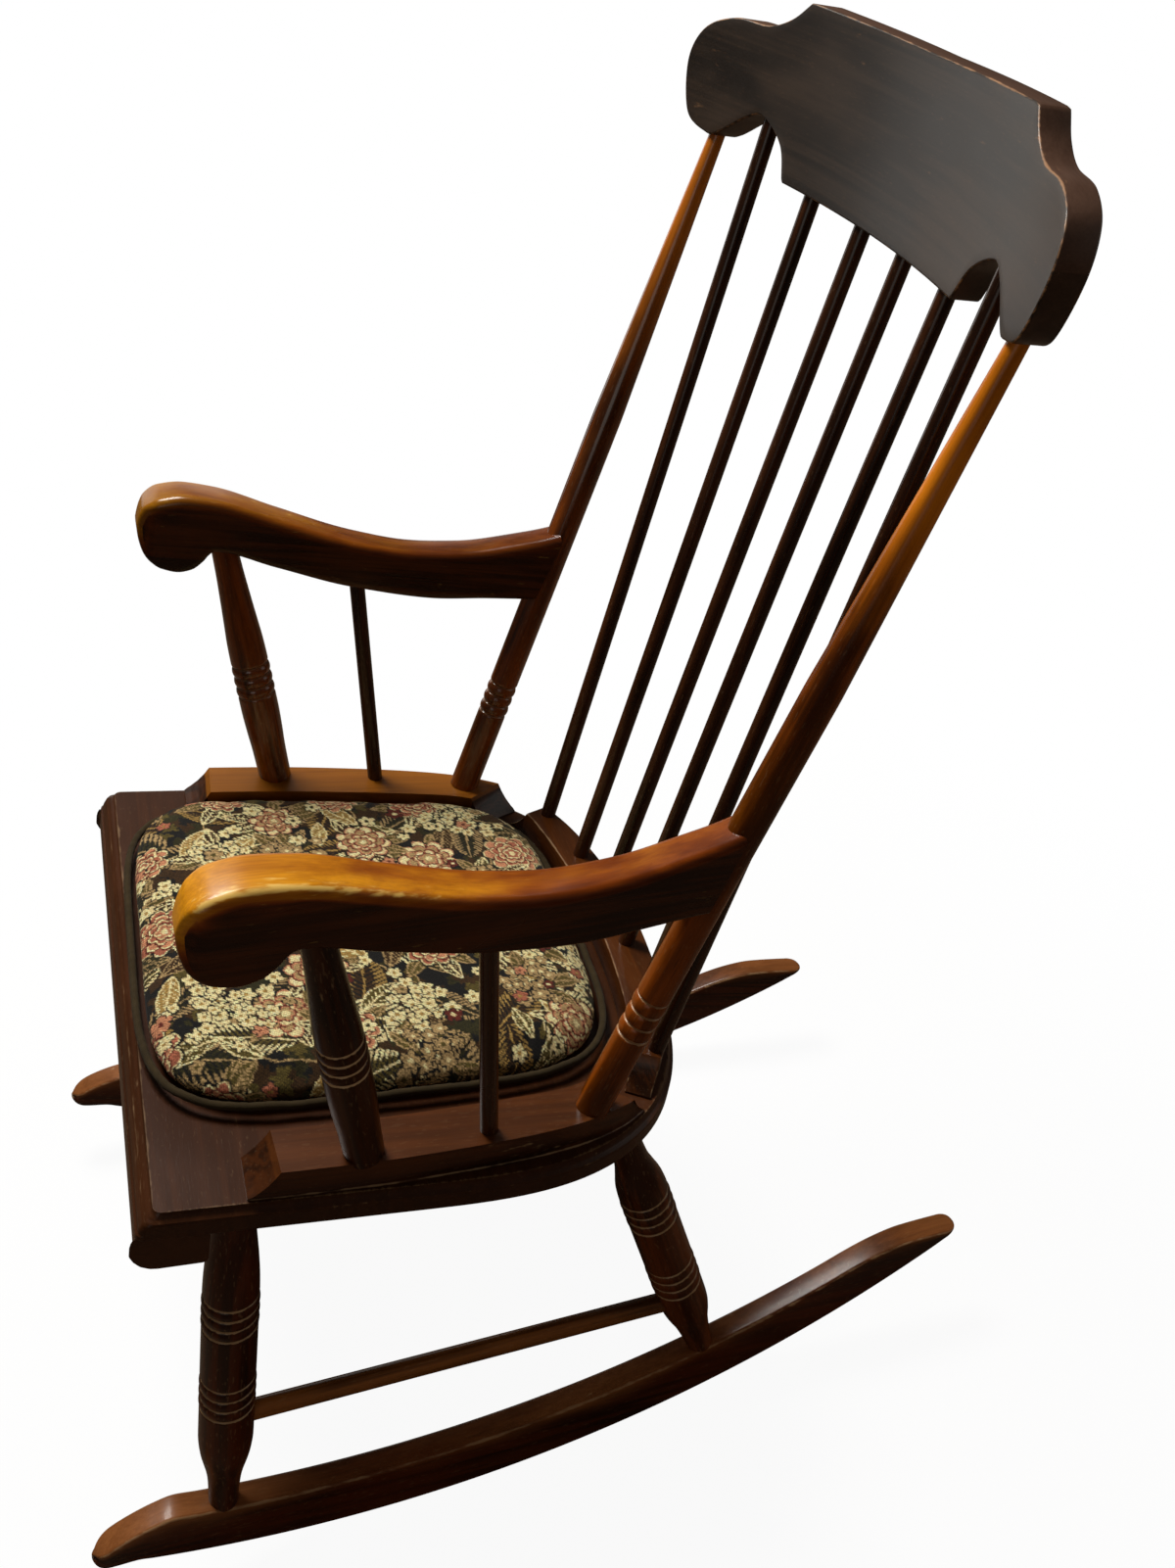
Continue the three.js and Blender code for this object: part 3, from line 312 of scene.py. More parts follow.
def board(low, high, half, round_low, round_high, place, seed, middle=0.0, face_rows=6, arc=4, rubbed_and_lit=None):
    """A sawn board with rounded arrises.

    low and high are the two edges of its outline, as matching columns of 2-D points; a section runs over the low
    edge, up one face, over the high edge and down the other, and each corner is a quarter circle of the given
    radius. place maps (a, b, s) to the seat frame, with s across the thickness."""
    low, high = np.asarray(low, float), np.asarray(high, float)
    n = len(low)
    widths = half, middle, round_low, round_high
    half, middle, round_low, round_high = (np.broadcast_to(np.asarray(v, float), (n,)) for v in widths)
    poles = {end: np.allclose(low[end], high[end], atol=1e-6) for end in (0, -1)}
    n_low, n_high = outward(low), -outward(high)
    rl, rh = np.minimum(round_low, half * 0.92), np.minimum(round_high, half * 0.92)
    for end, is_pole in poles.items():
        if is_pole:
            both = n_low[end] + n_high[end]
            n_low[end] = n_high[end] = both / np.linalg.norm(both)
            away = np.clip(np.linalg.norm(low - low[end], axis=1) / 25, 0, 1)
            rl, rh = ((rl + rh) / 2 + (own - (rl + rh) / 2) * away for own in (rl, rh))
    phi = np.linspace(0, math.pi / 2, arc + 1)
    parts, across, arris, topness = [], [], [], []

    def corner(edge, out, r, sign, angles, top):
        """A quarter circle of radius r, r(1 - cos a) in from the edge and r(1 - sin a) from the face."""
        for a in angles:
            parts.append(edge - out * (r * (1 - math.cos(a)))[:, None])
            across.append(sign * (half - r + r * math.sin(a)))
            arris.append(np.full(n, math.sin(2 * a) if 0 < a < math.pi / 2 else 0.25))
            topness.append(np.full(n, top * (1 - 0.25 * a / (math.pi / 2))))

    def face(p, q, sign, top_p, top_q):
        """Even rows from p to q on one face."""
        for k in range(1, face_rows):
            t = k / face_rows
            parts.append(p * (1 - t) + q * t)
            across.append(sign * half)
            arris.append(np.zeros(n))
            topness.append(np.full(n, max(0.0, (top_p * (1 - t) + top_q * t) * 2 - 1) * 0.6))

    low_in, high_in = low - n_low * rl[:, None], high - n_high * rh[:, None]
    corner(low, n_low, rl, -1, phi[::-1], 0)
    corner(low, n_low, rl, 1, phi, 0)
    face(low_in, high_in, 1, 0, 1)
    corner(high, n_high, rh, 1, phi[::-1], 1)
    corner(high, n_high, rh, -1, phi, 1)
    face(high_in, low_in, -1, 1, 0)
    flat, s = np.stack(parts, 1), np.stack(across, 1) + middle[:, None]
    # The third mark is topness: the high edge and the upper faces are made lighter, painted light together with wear.
    marks = np.stack([np.stack(arris, 1), np.zeros_like(s), np.stack(topness, 1)], -1)
    if rubbed_and_lit:
        marks[..., 2] *= rubbed_and_lit(flat[..., 0])
    grid = place(flat[..., 0], flat[..., 1], s)
    grain = np.stack([s, flat[..., 1], flat[..., 0]], -1) / MM + np.random.default_rng(seed).uniform(1, 9, 3)
    for end, is_pole in poles.items():
        if not is_pole:
            caps = [np.broadcast_to(v[end].mean(0), v[end].shape)[None] for v in (grid, grain)]
            caps.append(np.zeros((1,) + marks.shape[1:]))
            pairs = zip(caps, (grid, grain, marks))
            grid, grain, marks = (np.vstack([cap, own] if end == 0 else [own, cap]) for cap, own in pairs)
    return grid, grain, marks


# ---------------------------------------------------------------- tapestry


def flower_petals(r, angle, petals, lobe, turn):
    """How far a place is inside a petalled disc of radius 1: the rim swings in between petals as a cosine does."""
    rim = 1 - lobe + lobe * np.abs(np.cos(petals * (angle + turn) / 2)) ** 0.7
    return rim - r


def tapestry(width, pitch, colours, seed=5):
    """A woven floral ground painted on an array, one cell for each knot of the weave, in linear colours.

    Sprays of fern, broad leaves, peonies, small daisies and clusters of blossom are stamped at spread-out places,
    each as masks of distance and angle from its own centre. Lengths are in millimetres."""
    rng = np.random.default_rng(seed)
    n = int(width / pitch)
    ys, xs = np.mgrid[0:n, 0:n]
    px, py = xs * pitch - width / 2, ys * pitch - width / 2
    cloth = np.empty((n, n, 3))
    cloth[:] = colours["ground"]

    def stamp(cx, cy, reach, turn=None):
        """The window of cells round a centre, and its places from there: along and across a turned axis, or else
        as distance and angle."""
        def cells(c):
            first, last = ((c + step + width / 2) / pitch for step in (-reach, reach))
            return slice(max(0, int(first)), max(0, int(min(n, last + 1))))

        window = cells(cy), cells(cx)
        dx, dy = px[window] - cx, py[window] - cy
        if turn is None:
            return window, np.hypot(dx, dy), np.arctan2(dy, dx)
        c, s = math.cos(turn), math.sin(turn)
        return window, dx * c + dy * s, -dx * s + dy * c

    def paint(window, mask, colour):
        """Colours the window's cells where the mask holds."""
        cloth[window][mask] = colours[colour]

    def any_turn():
        """An angle from the whole circle."""
        return rng.uniform(0, 2 * math.pi)

    def blotches(count, size, colour):
        """Discs whose rims swing as two cosines, three and seven times round."""
        for _ in range(count):
            window, r, a = stamp(rng.uniform(-0.5, 0.5) * width, rng.uniform(-0.5, 0.5) * width, size * 2)
            wave = 0.2 * np.cos(3 * a + rng.uniform(0, 6))
            edge = size * (0.7 + wave + 0.16 * np.cos(7 * a + rng.uniform(0, 6)))
            paint(window, r < edge * rng.uniform(0.6, 1.2), colour)

    def fern(cx, cy, turn, size, fill, rim):
        """A frond as wide as a power of a sine along it, cut in slanting teeth on both sides of its rib."""
        window, u, v = stamp(cx, cy, size * 1.1, turn)
        v = v - 0.0022 * size * (u / size) ** 2 * size * 0.4
        s = (u + size) / (2 * size)
        spread = size * 0.52 * np.clip(np.sin(np.clip(s, 0, 1) * math.pi) ** 0.6, 0, 1)
        lean = u - np.abs(v) * 0.75
        tooth = np.abs(((lean / (size * 0.135)) % 1) - 0.5) * 2
        inside = (s > 0.02) & (s < 0.98) & (np.abs(v) < spread)
        paint(window, inside, "ground")
        paint(window, inside & (tooth < 0.64), fill)
        paint(window, inside & (tooth < 0.62) & (np.abs(v) > spread * (0.34 + 0.5 * tooth)), rim)
        paint(window, (s > 0) & (s < 1) & (np.abs(v) < 0.8), rim)

    def leaf(cx, cy, turn, size, fill, rim):
        """A pointed oval, as wide at u as 0.42 (1 - |u|^1.8)^0.9, with a rim, a rib and slanting veins."""
        window, u, v = stamp(cx, cy, size * 1.1, turn)
        u, v = u / size, v / size
        body = 0.42 * np.clip(1 - np.abs(u) ** 1.8, 0, 1) ** 0.9
        inside = (np.abs(u) < 1) & (np.abs(v) < body)
        paint(window, inside, rim)
        paint(window, (np.abs(u) < 0.93) & (np.abs(v) < body - 1.3 / size), fill)
        vein = np.abs((((u - np.abs(v) * 1.2) * 5) % 1) - 0.5) < 0.09
        paint(window, inside & (vein | (np.abs(v) < 0.8 / size)) & (np.abs(v) < body - 1.0 / size), rim)

    def peony(cx, cy, turn, size, petal, inner, rim):
        """Four petalled discs one in another, each turned a little on."""
        window, r, a = stamp(cx, cy, size * 1.15)
        r = r / size
        rings = (1.0, 9, petal), (0.74, 8, inner), (0.5, 7, petal), (0.3, 5, inner)
        for k, (scale, petals, colour) in enumerate(rings):
            depth = flower_petals(r / scale, a, petals, 0.3, turn + k * 0.5)
            paint(window, depth > 0, rim)
            paint(window, depth * scale * size > 1.35, colour)
            gap = np.abs(np.sin(petals * (a + turn + k * 0.5) / 2)) > 0.97
            paint(window, (depth * scale * size > 1.0) & gap & (r > scale * 0.6), "burgundy")
            paint(window, np.abs(depth * scale * size + 0.9) < 0.75, "burgundy" if k else "ground")
        paint(window, r < 0.11, "cream")

    def daisy(cx, cy, turn, size, petal, heart):
        """A disc of five petals, its dark edge and its heart."""
        window, r, a = stamp(cx, cy, size * 1.2)
        r = r / size
        depth = flower_petals(r, a, 5, 0.5, turn)
        paint(window, depth * size > -1.1, "ground")
        paint(window, depth > 0, petal)
        paint(window, r < 0.27, heart)

    def cluster(cx, cy, size, petal, heart):
        """Small daisies scattered as a normal distribution."""
        for x, y in rng.normal(0, size * 0.44, (int(size), 2)):
            daisy(cx + x, cy + y, rng.uniform(0, 6), rng.uniform(5, 7.6), petal, heart)

    def stem(cx, cy, turn, size, colour):
        """A thin line bent as a sine."""
        window, u, v = stamp(cx, cy, size, turn)
        bend = size * 0.16 * np.sin(u / size * 3)
        paint(window, (np.abs(u) < size * 0.9) & (np.abs(v - bend) < 0.8), colour)

    def spread(count, least):
        """Numbered places over the cloth that keep a least distance from each other."""
        kept = []
        for _ in range(count * 60):
            p = rng.uniform(-0.53, 0.53, 2) * width
            if all(np.hypot(*(p - q)) > least for q in kept):
                kept.append(p)
            if len(kept) == count:
                break
        return enumerate(kept)

    def pick(k, *lists):
        """The k-th colour of each list of names, counted round and round."""
        return [names.split()[k % len(names.split())] for names in lists]

    for count, size, colour in ((300, 17, "moss"), (280, 14, "bark"), (200, 10, "olive"), (120, 7, "ground")):
        blotches(count, size, colour)
    for _, (x, y) in spread(50, 34):
        stem(x, y, rng.uniform(0, math.pi), rng.uniform(18, 34), "beige")
    for k, (x, y) in spread(66, 37):
        fern(x, y, any_turn(), rng.uniform(27, 42), *pick(k, "olive moss bark", "cream beige gold"))
    for k, (x, y) in spread(84, 30):
        leaf(x, y, any_turn(), rng.uniform(15, 25), *pick(k, "olive bark moss gold", "cream beige beige cream"))
    flowers = "salmon rose cream", "cream gold", "cream beige salmon", "beige cream", "rose salmon cream"
    for k, (x, y) in spread(44, 46):
        for step in range(5):
            turn = any_turn()
            place = x + 27 * math.cos(turn), y + 27 * math.sin(turn)
            leaf(*place, turn, rng.uniform(12, 18), *pick(step, "olive bark", "beige cream"))
        size, flower = rng.uniform(20, 27), flowers[k % len(flowers)].split()
        if len(flower) == 3:
            peony(x, y, rng.uniform(0, 6), size, *flower)
        else:
            cluster(x, y, size * 1.25, *flower)
    cluster(width * 0.24, -width * 0.3, 40, "cream", "gold")
    cluster(-width * 0.3, width * 0.24, 34, "cream", "gold")
    petals, hearts = "cream salmon beige burgundy cream rose", "gold burgundy olive cream moss gold"
    for k, (x, y) in spread(110, 26):
        daisy(x, y, rng.uniform(0, 6), rng.uniform(5, 8.5), *pick(k, petals, hearts))
    knot = rng.normal(1, 0.2, (n, n, 1))
    weft = 1 - 0.42 * ((xs + ys // 2) % 2)[..., None]
    return np.clip(cloth * 1.25 * knot * weft, 0, 1)


# ---------------------------------------------------------------- finishes


def wire(tree, node, inputs):
    """Fills a node's inputs with sockets or plain values."""
    for key, value in inputs.items():
        if isinstance(value, bpy.types.NodeSocket):
            tree.links.new(value, node.inputs[key])
        else:
            node.inputs[key].default_value = value


def put(tree, kind, inputs=None, **settings):
    """Adds a node, sets its properties and fills its inputs."""
    made = tree.nodes.new(kind)
    for key, value in settings.items():
        setattr(made, key, value)
    wire(tree, made, inputs or {})
    return made


def maths(tree, operation, *values, clamp=False):
    """A Math node's result."""
    return put(tree, "ShaderNodeMath", dict(enumerate(values)), operation=operation, use_clamp=clamp).outputs[0]


def blend_colours(tree, share, first, second, how="MIX"):
    """A colour mixed from two, by a share."""
    inputs = {0: share, 6: first, 7: second}
    return put(tree, "ShaderNodeMix", inputs, data_type="RGBA", blend_type=how).outputs[2]


def between(tree, value, low, high, **more):
    """0 below low and 1 above high, eased."""
    inputs = {"Value": value, "From Min": low, "From Max": high, **more}
    return put(tree, "ShaderNodeMapRange", inputs, interpolation_type="SMOOTHSTEP").outputs[0]


def stretched_noise(tree, place, scale, detail=2.0, rough=0.5, distortion=0.0):
    """Noise drawn out along the grain, whose place's Z runs along the wood."""
    moved = put(tree, "ShaderNodeVectorMath", {0: place, 1: scale}, operation="MULTIPLY").outputs[0]
    inputs = {"Vector": moved, "Scale": 1.0, "Detail": detail, "Roughness": rough, "Distortion": distortion}
    return put(tree, "ShaderNodeTexNoise", inputs).outputs["Fac"]


def attribute(tree, name, output="Vector"):
    """A value painted on the piece's own points."""
    return put(tree, "ShaderNodeAttribute", attribute_name=name).outputs[output]


def new_group(name, inputs, outputs):
    """An empty shader node group, its sockets, and its tools.

    An input's default says its kind: a colour, a number, or none for a vector. An output called Color is a colour,
    and the others are numbers."""
    group = bpy.data.node_groups.new(name, "ShaderNodeTree")
    for label, value in inputs.items():
        kind = "Vector" if value is None else "Color" if isinstance(value, tuple) else "Float"
        socket = group.interface.new_socket(name=label, in_out="INPUT", socket_type="NodeSocket" + kind)
        if value is not None:
            socket.default_value = value
    for label in outputs:
        kind = "NodeSocketColor" if label == "Color" else "NodeSocketFloat"
        group.interface.new_socket(name=label, in_out="OUTPUT", socket_type=kind)
    tools = (partial(tool, group) for tool in (maths, blend_colours, between, stretched_noise))
    return group, group.nodes.new("NodeGroupInput").outputs, group.nodes.new("NodeGroupOutput"), *tools


def make_grain_group():
    """Stained beech: broad figure, fine streaks, dark pores and short pale ray flecks along the grain."""
    group, g, out, m, mix, ramp, noise = new_group("Stained beech", {
        "Grain": None, "Dark": (0.02, 0.006, 0.002, 1), "Light": (0.08, 0.03, 0.01, 1), "Fleck": (0.2, 0.1, 0.04, 1),
        "Figure": 0.6, "Fleck amount": 0.3, "Cloudy": 0.3}, ["Color", "Height", "Mottle", "Tone"])
    figure = noise(g["Grain"], (26, 26, 1.5), 3, 0.6, 0.5)
    rings = m("MULTIPLY_ADD", m("SINE", m("MULTIPLY", figure, 34.0)), 0.5, 0.5)
    streak = noise(g["Grain"], (420, 420, 9), 3, 0.65)
    cloud = noise(g["Grain"], (9, 9, 5), 3, 0.6)
    tone = m("ADD", m("MULTIPLY", rings, 0.38), m("MULTIPLY", streak, 0.75))
    tone = m("MULTIPLY_ADD", m("SUBTRACT", cloud, 0.5), 1.1, tone)
    body = mix(m("MULTIPLY", ramp(tone, 0.25, 0.95), g["Figure"]), g["Dark"], g["Light"])
    body = mix(m("MULTIPLY", ramp(cloud, 0.42, 0.7), g["Cloudy"]), body, g["Light"])
    pores = ramp(noise(g["Grain"], (1500, 1500, 70), 1, 0.5), 0.62, 0.74)
    body = mix(m("MULTIPLY", pores, 0.5), body, g["Dark"])
    rays = ramp(noise(g["Grain"], (620, 620, 150), 0, 0.5), 0.7, 0.76)
    body = mix(m("MULTIPLY", rays, g["Fleck amount"]), body, g["Fleck"])
    height = m("SUBTRACT", m("MULTIPLY", streak, 0.5), m("MULTIPLY", pores, 0.6))
    wire(group, out, {"Color": body, "Height": height, "Mottle": cloud, "Tone": ramp(tone, 0.1, 1.0)})


def make_wear_group():
    """Handling and painted light: places that rubbing and painted light make lighter, chipped arrises that on the arms
    carry a painted reflection too, and grooves whose stain is thin, broken up by noise.
    """
    black, white = (0.0, 0.0, 0.0, 1), (1, 1, 1, 1)
    group, g, out, m, mix, ramp, noise = new_group("Worn finish and painted light", {
        "Color": black, "Marks": None, "Grain": None, "Tone": 0.5, "Rubbed and lit": (0.4, 0.2, 0.04, 1),
        "Half rubbed": white, "Bare": (0.45, 0.28, 0.12, 1), "Rubbed amount": 0.0, "Arris amount": 0.3,
        "Groove amount": 0.6}, ["Color", "Wear"])
    arris_mark, groove_mark, rubbed_and_lit_mark = put(group, "ShaderNodeSeparateXYZ", {0: g["Marks"]}).outputs
    broad = noise(g["Grain"], (30, 30, 9), 3, 0.6)
    fine = noise(g["Grain"], (260, 260, 60), 2, 0.6)

    def swung(texture, amount, value):
        """A value that a noise swings up and down by half an amount."""
        return m("MULTIPLY_ADD", m("SUBTRACT", texture, 0.5), amount, value)

    # The third mark lightens the finish for wear and, on the tops of pieces, as painted light.
    soft = ramp(swung(broad, 1.2, rubbed_and_lit_mark), 0.1, 1.15)
    streaks = noise(g["Grain"], (520, 520, 12), 3, 0.7)
    streaks = ramp(m("MULTIPLY_ADD", g["Tone"], 0.3, streaks), 0.35, 0.95)
    half_rubbed_and_lit = mix(1.0, g["Rubbed and lit"], g["Half rubbed"], "MULTIPLY")
    rubbed_and_lit = mix(m("POWER", soft, 3.0), half_rubbed_and_lit, g["Rubbed and lit"])
    shaded = mix(1.0, rubbed_and_lit, mix(streaks, (0.8, 0.73, 0.66, 1), (1.1, 1.11, 1.12, 1)), "MULTIPLY")
    soft = m("MULTIPLY", soft, g["Rubbed amount"])
    # Arris bands are bare-wood wear, and on the arms also a painted reflection.
    arris = swung(broad, 1.4, swung(fine, 1.6, arris_mark))
    arris = m("MULTIPLY", ramp(arris, 0.62, 1.15), g["Arris amount"])
    cut = swung(fine, 1.0, swung(broad, 0.6, groove_mark))
    cut = m("MULTIPLY", ramp(cut, 0.2, 0.62), g["Groove amount"])
    colour = mix(cut, mix(arris, mix(soft, g["Color"], shaded), g["Bare"]), g["Bare"])
    wire(group, out, {"Color": colour, "Wear": m("ADD", m("ADD", soft, arris), cut, clamp=True)})


def make_yarn_group():
    """Jacquard weave: rows of short weft floats with rounded tops, with painted shade where one row dips under the
    next.
    """
    group, g, out, m, mix, _, _ = new_group(
        "Woven yarn", {"Color": (0.0, 0.0, 0.0, 1), "Weave": None, "Pitch": 1.3, "Contrast": 0.5}, ["Color", "Height"])
    x, y, _ = put(group, "ShaderNodeSeparateXYZ", {0: g["Weave"]}).outputs
    wobble = put(group, "ShaderNodeTexNoise", {"Vector": g["Weave"], "Scale": 0.45, "Detail": 1.0}).outputs["Fac"]

    def wave(place):
        """Humps from 0 to 1, one to each whole number of place."""
        return m("ABSOLUTE", m("SINE", m("MULTIPLY", place, math.pi)))

    row = m("DIVIDE", m("MULTIPLY_ADD", wobble, 0.8, y), g["Pitch"])
    shift = m("MULTIPLY", m("FLOOR", row), 0.5)
    column = m("MULTIPLY_ADD", m("DIVIDE", x, g["Pitch"]), 0.62, shift)
    float_top = m("MULTIPLY_ADD", m("POWER", wave(column), 0.5), 0.5, 0.5)
    height = m("MULTIPLY", m("POWER", wave(row), 0.6), float_top)
    shade = m("MULTIPLY", m("SUBTRACT", 1.0, height), g["Contrast"])
    wire(group, out, {"Color": mix(shade, g["Color"], (0.004, 0.004, 0.004, 1)), "Height": height})


def new_material(name):
    """A node material, its tree and its shader."""
    material = bpy.data.materials.new(name)
    material.use_nodes = True
    return material, material.node_tree, material.node_tree.nodes["Principled BSDF"]


def wood(name, dark, light, bare, rubbed_and_lit=None, half_rubbed_and_lit=(1, 1, 1), rubbed_and_lit_amount=0.0, arris=0.35, groove=0.7,
         figure=0.6, fleck=0.25, cloudy=0.3, gloss=0.3, coat=0.15, shine=0.22, on_object=False):
    """A stained and lacquered beech finish from the two groups.

    Its grain is the piece's own attribute, or else its object coordinates."""
    material, tree, shader = new_material(name)
    if on_object:
        grain, marks = put(tree, "ShaderNodeTexCoord").outputs["Object"], (0, 0, 0)
    else:
        grain, marks = attribute(tree, "grain"), attribute(tree, "marks")
    beech = put(tree, "ShaderNodeGroup", node_tree=bpy.data.node_groups["Stained beech"])
    wire(tree, beech, {"Grain": grain, "Dark": (*dark, 1), "Light": (*light, 1), "Fleck": (*bare, 1),
                       "Figure": figure, "Fleck amount": fleck, "Cloudy": cloudy})
    worn_and_lit = put(tree, "ShaderNodeGroup", node_tree=bpy.data.node_groups["Worn finish and painted light"])
    wire(tree, worn_and_lit, {"Color": beech.outputs["Color"], "Tone": beech.outputs["Tone"], "Grain": grain, "Marks": marks,
                      "Rubbed and lit": (*(rubbed_and_lit or light), 1), "Half rubbed": (*half_rubbed_and_lit, 1), "Bare": (*bare, 1),
                      "Rubbed amount": rubbed_and_lit_amount, "Arris amount": arris, "Groove amount": groove})
    rough = maths(tree, "MULTIPLY_ADD", beech.outputs["Mottle"], 0.24, gloss - 0.1)
    rough = maths(tree, "MULTIPLY_ADD", worn_and_lit.outputs["Wear"], 0.12, rough)
    bump = put(tree, "ShaderNodeBump", {"Height": beech.outputs["Height"], "Strength": 0.12, "Distance": 0.0004})
    wire(tree, shader, {"Base Color": worn_and_lit.outputs["Color"], "Roughness": rough, "Specular IOR Level": shine,
                        "Coat Weight": coat, "Coat Roughness": 0.16, "Normal": bump.outputs[0]})
    return material


def cloth(name, colour=None, painted=None, pitch=1.25, contrast=0.35, sheen=0.03):
    """A woven cloth, made when it is first asked for: a plain colour, or one painted on the piece's own points."""
    if name in bpy.data.materials:
        return bpy.data.materials[name]
    if "Woven yarn" not in bpy.data.node_groups:
        make_yarn_group()
    material, tree, shader = new_material(name)
    weave = attribute(tree, "weave")
    if painted:
        base = attribute(tree, painted, "Color")
    else:
        tone = put(tree, "ShaderNodeTexNoise", {"Vector": weave, "Scale": 0.08, "Detail": 3.0}).outputs["Fac"]
        dark, light = ((*[min(1, c * share) for c in colour], 1) for share in (0.6, 1.5))
        base = blend_colours(tree, tone, dark, light)
    yarn = put(tree, "ShaderNodeGroup", node_tree=bpy.data.node_groups["Woven yarn"])
    wire(tree, yarn, {"Color": base, "Weave": weave, "Pitch": pitch, "Contrast": contrast})
    bump = put(tree, "ShaderNodeBump", {"Height": yarn.outputs["Height"], "Strength": 0.6, "Distance": 0.0006})
    wire(tree, shader, {"Base Color": yarn.outputs["Color"], "Roughness": 0.92, "Specular IOR Level": 0.2,
                        "Sheen Weight": sheen, "Sheen Roughness": 0.5, "Normal": bump.outputs[0]})
    return material


# ---------------------------------------------------------------- outlines


def on_seat(shares, z):
    """A place on the seat, as shares of its half width and its length."""
    return np.array([SEAT_HALF * shares[0], SEAT_LENGTH * shares[1], z])


EAR = [(0.484, 0), (0.538, 0.191), (0.644, 0.302), (0.715, 0.248), (0.809, 0.104), (0.858, 0.08), (0.949, 0.157),
       (1, 0.459), (0.966, 0.674), (0.86, 0.781), (0.725, 0.801), (0.641, 0.878), (0.58, 0.995)]


def crest_edges(x):
    """The crest rail's lower and upper edges over the seat at each distance from the middle, and its half width."""
    ear = path_through([(a * CREST_HALF, b * CREST_HEIGHT) for a, b in EAR])
    tip = int(np.argmax(ear[:, 0]))
    under = np.vstack([[(0, 0)], ear[: tip + 1]])
    over = np.vstack([[(0, CREST_HEIGHT * 0.985), (CREST_HALF * 0.56, CREST_HEIGHT)], ear[tip:][::-1]])
    d, (end, end_z) = np.abs(x), ear[tip]
    low, high = (np.where(d >= end, end_z, np.interp(d, *line.T)) for line in (under, over))
    return low, high, end


def crest_place(x, up, s):
    """The crest rail: an upright board bowed about a far centre in front of it, leaning back as it rises."""
    y = CREST_Y - CREST_BOW + np.sqrt((CREST_BOW + s) ** 2 - x**2) + up * CREST_TILT
    return np.stack([x, y, CREST_Z + up], -1)


def crest_foot(x):
    """Where a stick meets the crest rail's lower edge."""
    low = float(crest_edges(np.array([float(x)]))[0][0])
    return crest_place(np.array(float(x)), np.array(low), np.array(0.0))


POST_FOOT = on_seat((0.8387, 0.736), RAIL_HEIGHT)
POST_HEAD = crest_foot(CREST_HALF * CREST_POST_SHARE)
POST_LENGTH = np.linalg.norm(POST_HEAD - POST_FOOT)
ARM_TOP = [(0, 0.405), (0.002, 0.345), (0.007, 0.25), (0.017, 0.157), (0.053, 0.046), (0.108, 0), (0.185, 0.028),
           (0.333, 0.2), (0.517, 0.395), (0.646, 0.453), (0.769, 0.408), (0.925, 0.215), (1.041, -0.008)]
ARM_UNDER = [(0, 0.405), (0.002, 0.48), (0.007, 0.58), (0.017, 0.69), (0.035, 0.785), (0.062, 0.86), (0.1, 0.89),
             (0.134, 0.85), (0.16, 0.745), (0.178, 0.635), (0.19, 0.615), (0.333, 0.76), (0.517, 0.932), (0.707, 1),
             (0.846, 0.952), (1.041, 0.899)]
ARM_AXIS_Z = ARM_Z - ARM_DEPTH * ARM_AXIS_SHARE
ARM_BACK = POST_FOOT + (POST_HEAD - POST_FOOT) * (ARM_AXIS_Z - POST_FOOT[2]) / (POST_HEAD[2] - POST_FOOT[2])
ARM_LENGTH = ARM_BACK[1] - ARM_NOSE_Y


def arm_edge(share, line):
    """Height over the seat of one edge of the arm at each share of its length."""
    return ARM_Z - ARM_DEPTH * smooth(share, *zip(*line))


def arm_middle(y):
    """Distance of the arm's middle line from the chair's middle: it closes in towards the back post."""
    share = (y - ARM_POST_Y) / (ARM_BACK[1] - ARM_POST_Y)
    return ARM_SPREAD / 2 + (ARM_BACK[0] - ARM_SPREAD / 2) * share


def arm_point(y):
    """Where a stick meets the arm's underside."""
    return np.array([arm_middle(y), y, arm_edge((y - ARM_NOSE_Y) / ARM_LENGTH, ARM_UNDER)])


def rocker_arc(y):
    """The rocker's underside: a circle about the rocking centre."""
    return ROCKER_RADIUS - ROCKER_DROP - np.sqrt(ROCKER_RADIUS**2 - (y - ROCKER_LOW_Y) ** 2)


ROCKER_TOP = [(0.0794, 0.892), (0.131, 0.912), (0.242, 0.949), (0.445, 0.992), (0.675, 1.004), (0.857, 0.98)]
TOP_SHARES = np.linspace(0.0794, 0.857, 30)
ROCKER_OVER = [(0, -0.011), (0.0043, 0.081), (0.0117, 0.203), (0.0211, 0.352), (0.032, 0.491), (0.0442, 0.624),
               (0.0591, 0.759), *zip(TOP_SHARES, smooth(TOP_SHARES, *zip(*ROCKER_TOP))), (0.88, 0.944), (0.9, 0.872),
               (0.921, 0.755), (0.942, 0.58), (0.962, 0.39), (0.978, 0.225), (0.989, 0.1), (0.9965, 0.01),
               (1.0, -0.045)]
ROCKER_UNDER = [(0, -0.011), (0.0008, -0.073), (0.0076, -0.108), (0.0198, -0.089),
                *[(s, 0) for s in np.linspace(0.045, 0.985, 62)], (0.9945, -0.022), (0.9988, -0.047), (1.0, -0.045)]


def rocker_edge(shares):
    """Rocker places: a share of the length back, and a share of the depth above the arc."""
    s = np.asarray(shares, float)
    y = ROCKER_FRONT_Y + s[:, 0] * ROCKER_LENGTH
    return np.stack([y, rocker_arc(y) + s[:, 1] * ROCKER_DEPTH], -1)


def rocker_plane(y):
    """Distance of a rocker's middle plane from the chair's middle: the rockers toe out towards the front."""
    return ROCKER_PLANE_X - ROCKER_TOE * (y - ROCKER_PLANE_Y)


def leg_foot(y):
    """Where a leg meets its rocker's top edge."""
    up = smooth((y - ROCKER_FRONT_Y) / ROCKER_LENGTH, *zip(*ROCKER_TOP))
    return np.array([rocker_plane(y), y, float(rocker_arc(y) + ROCKER_DEPTH * up)])


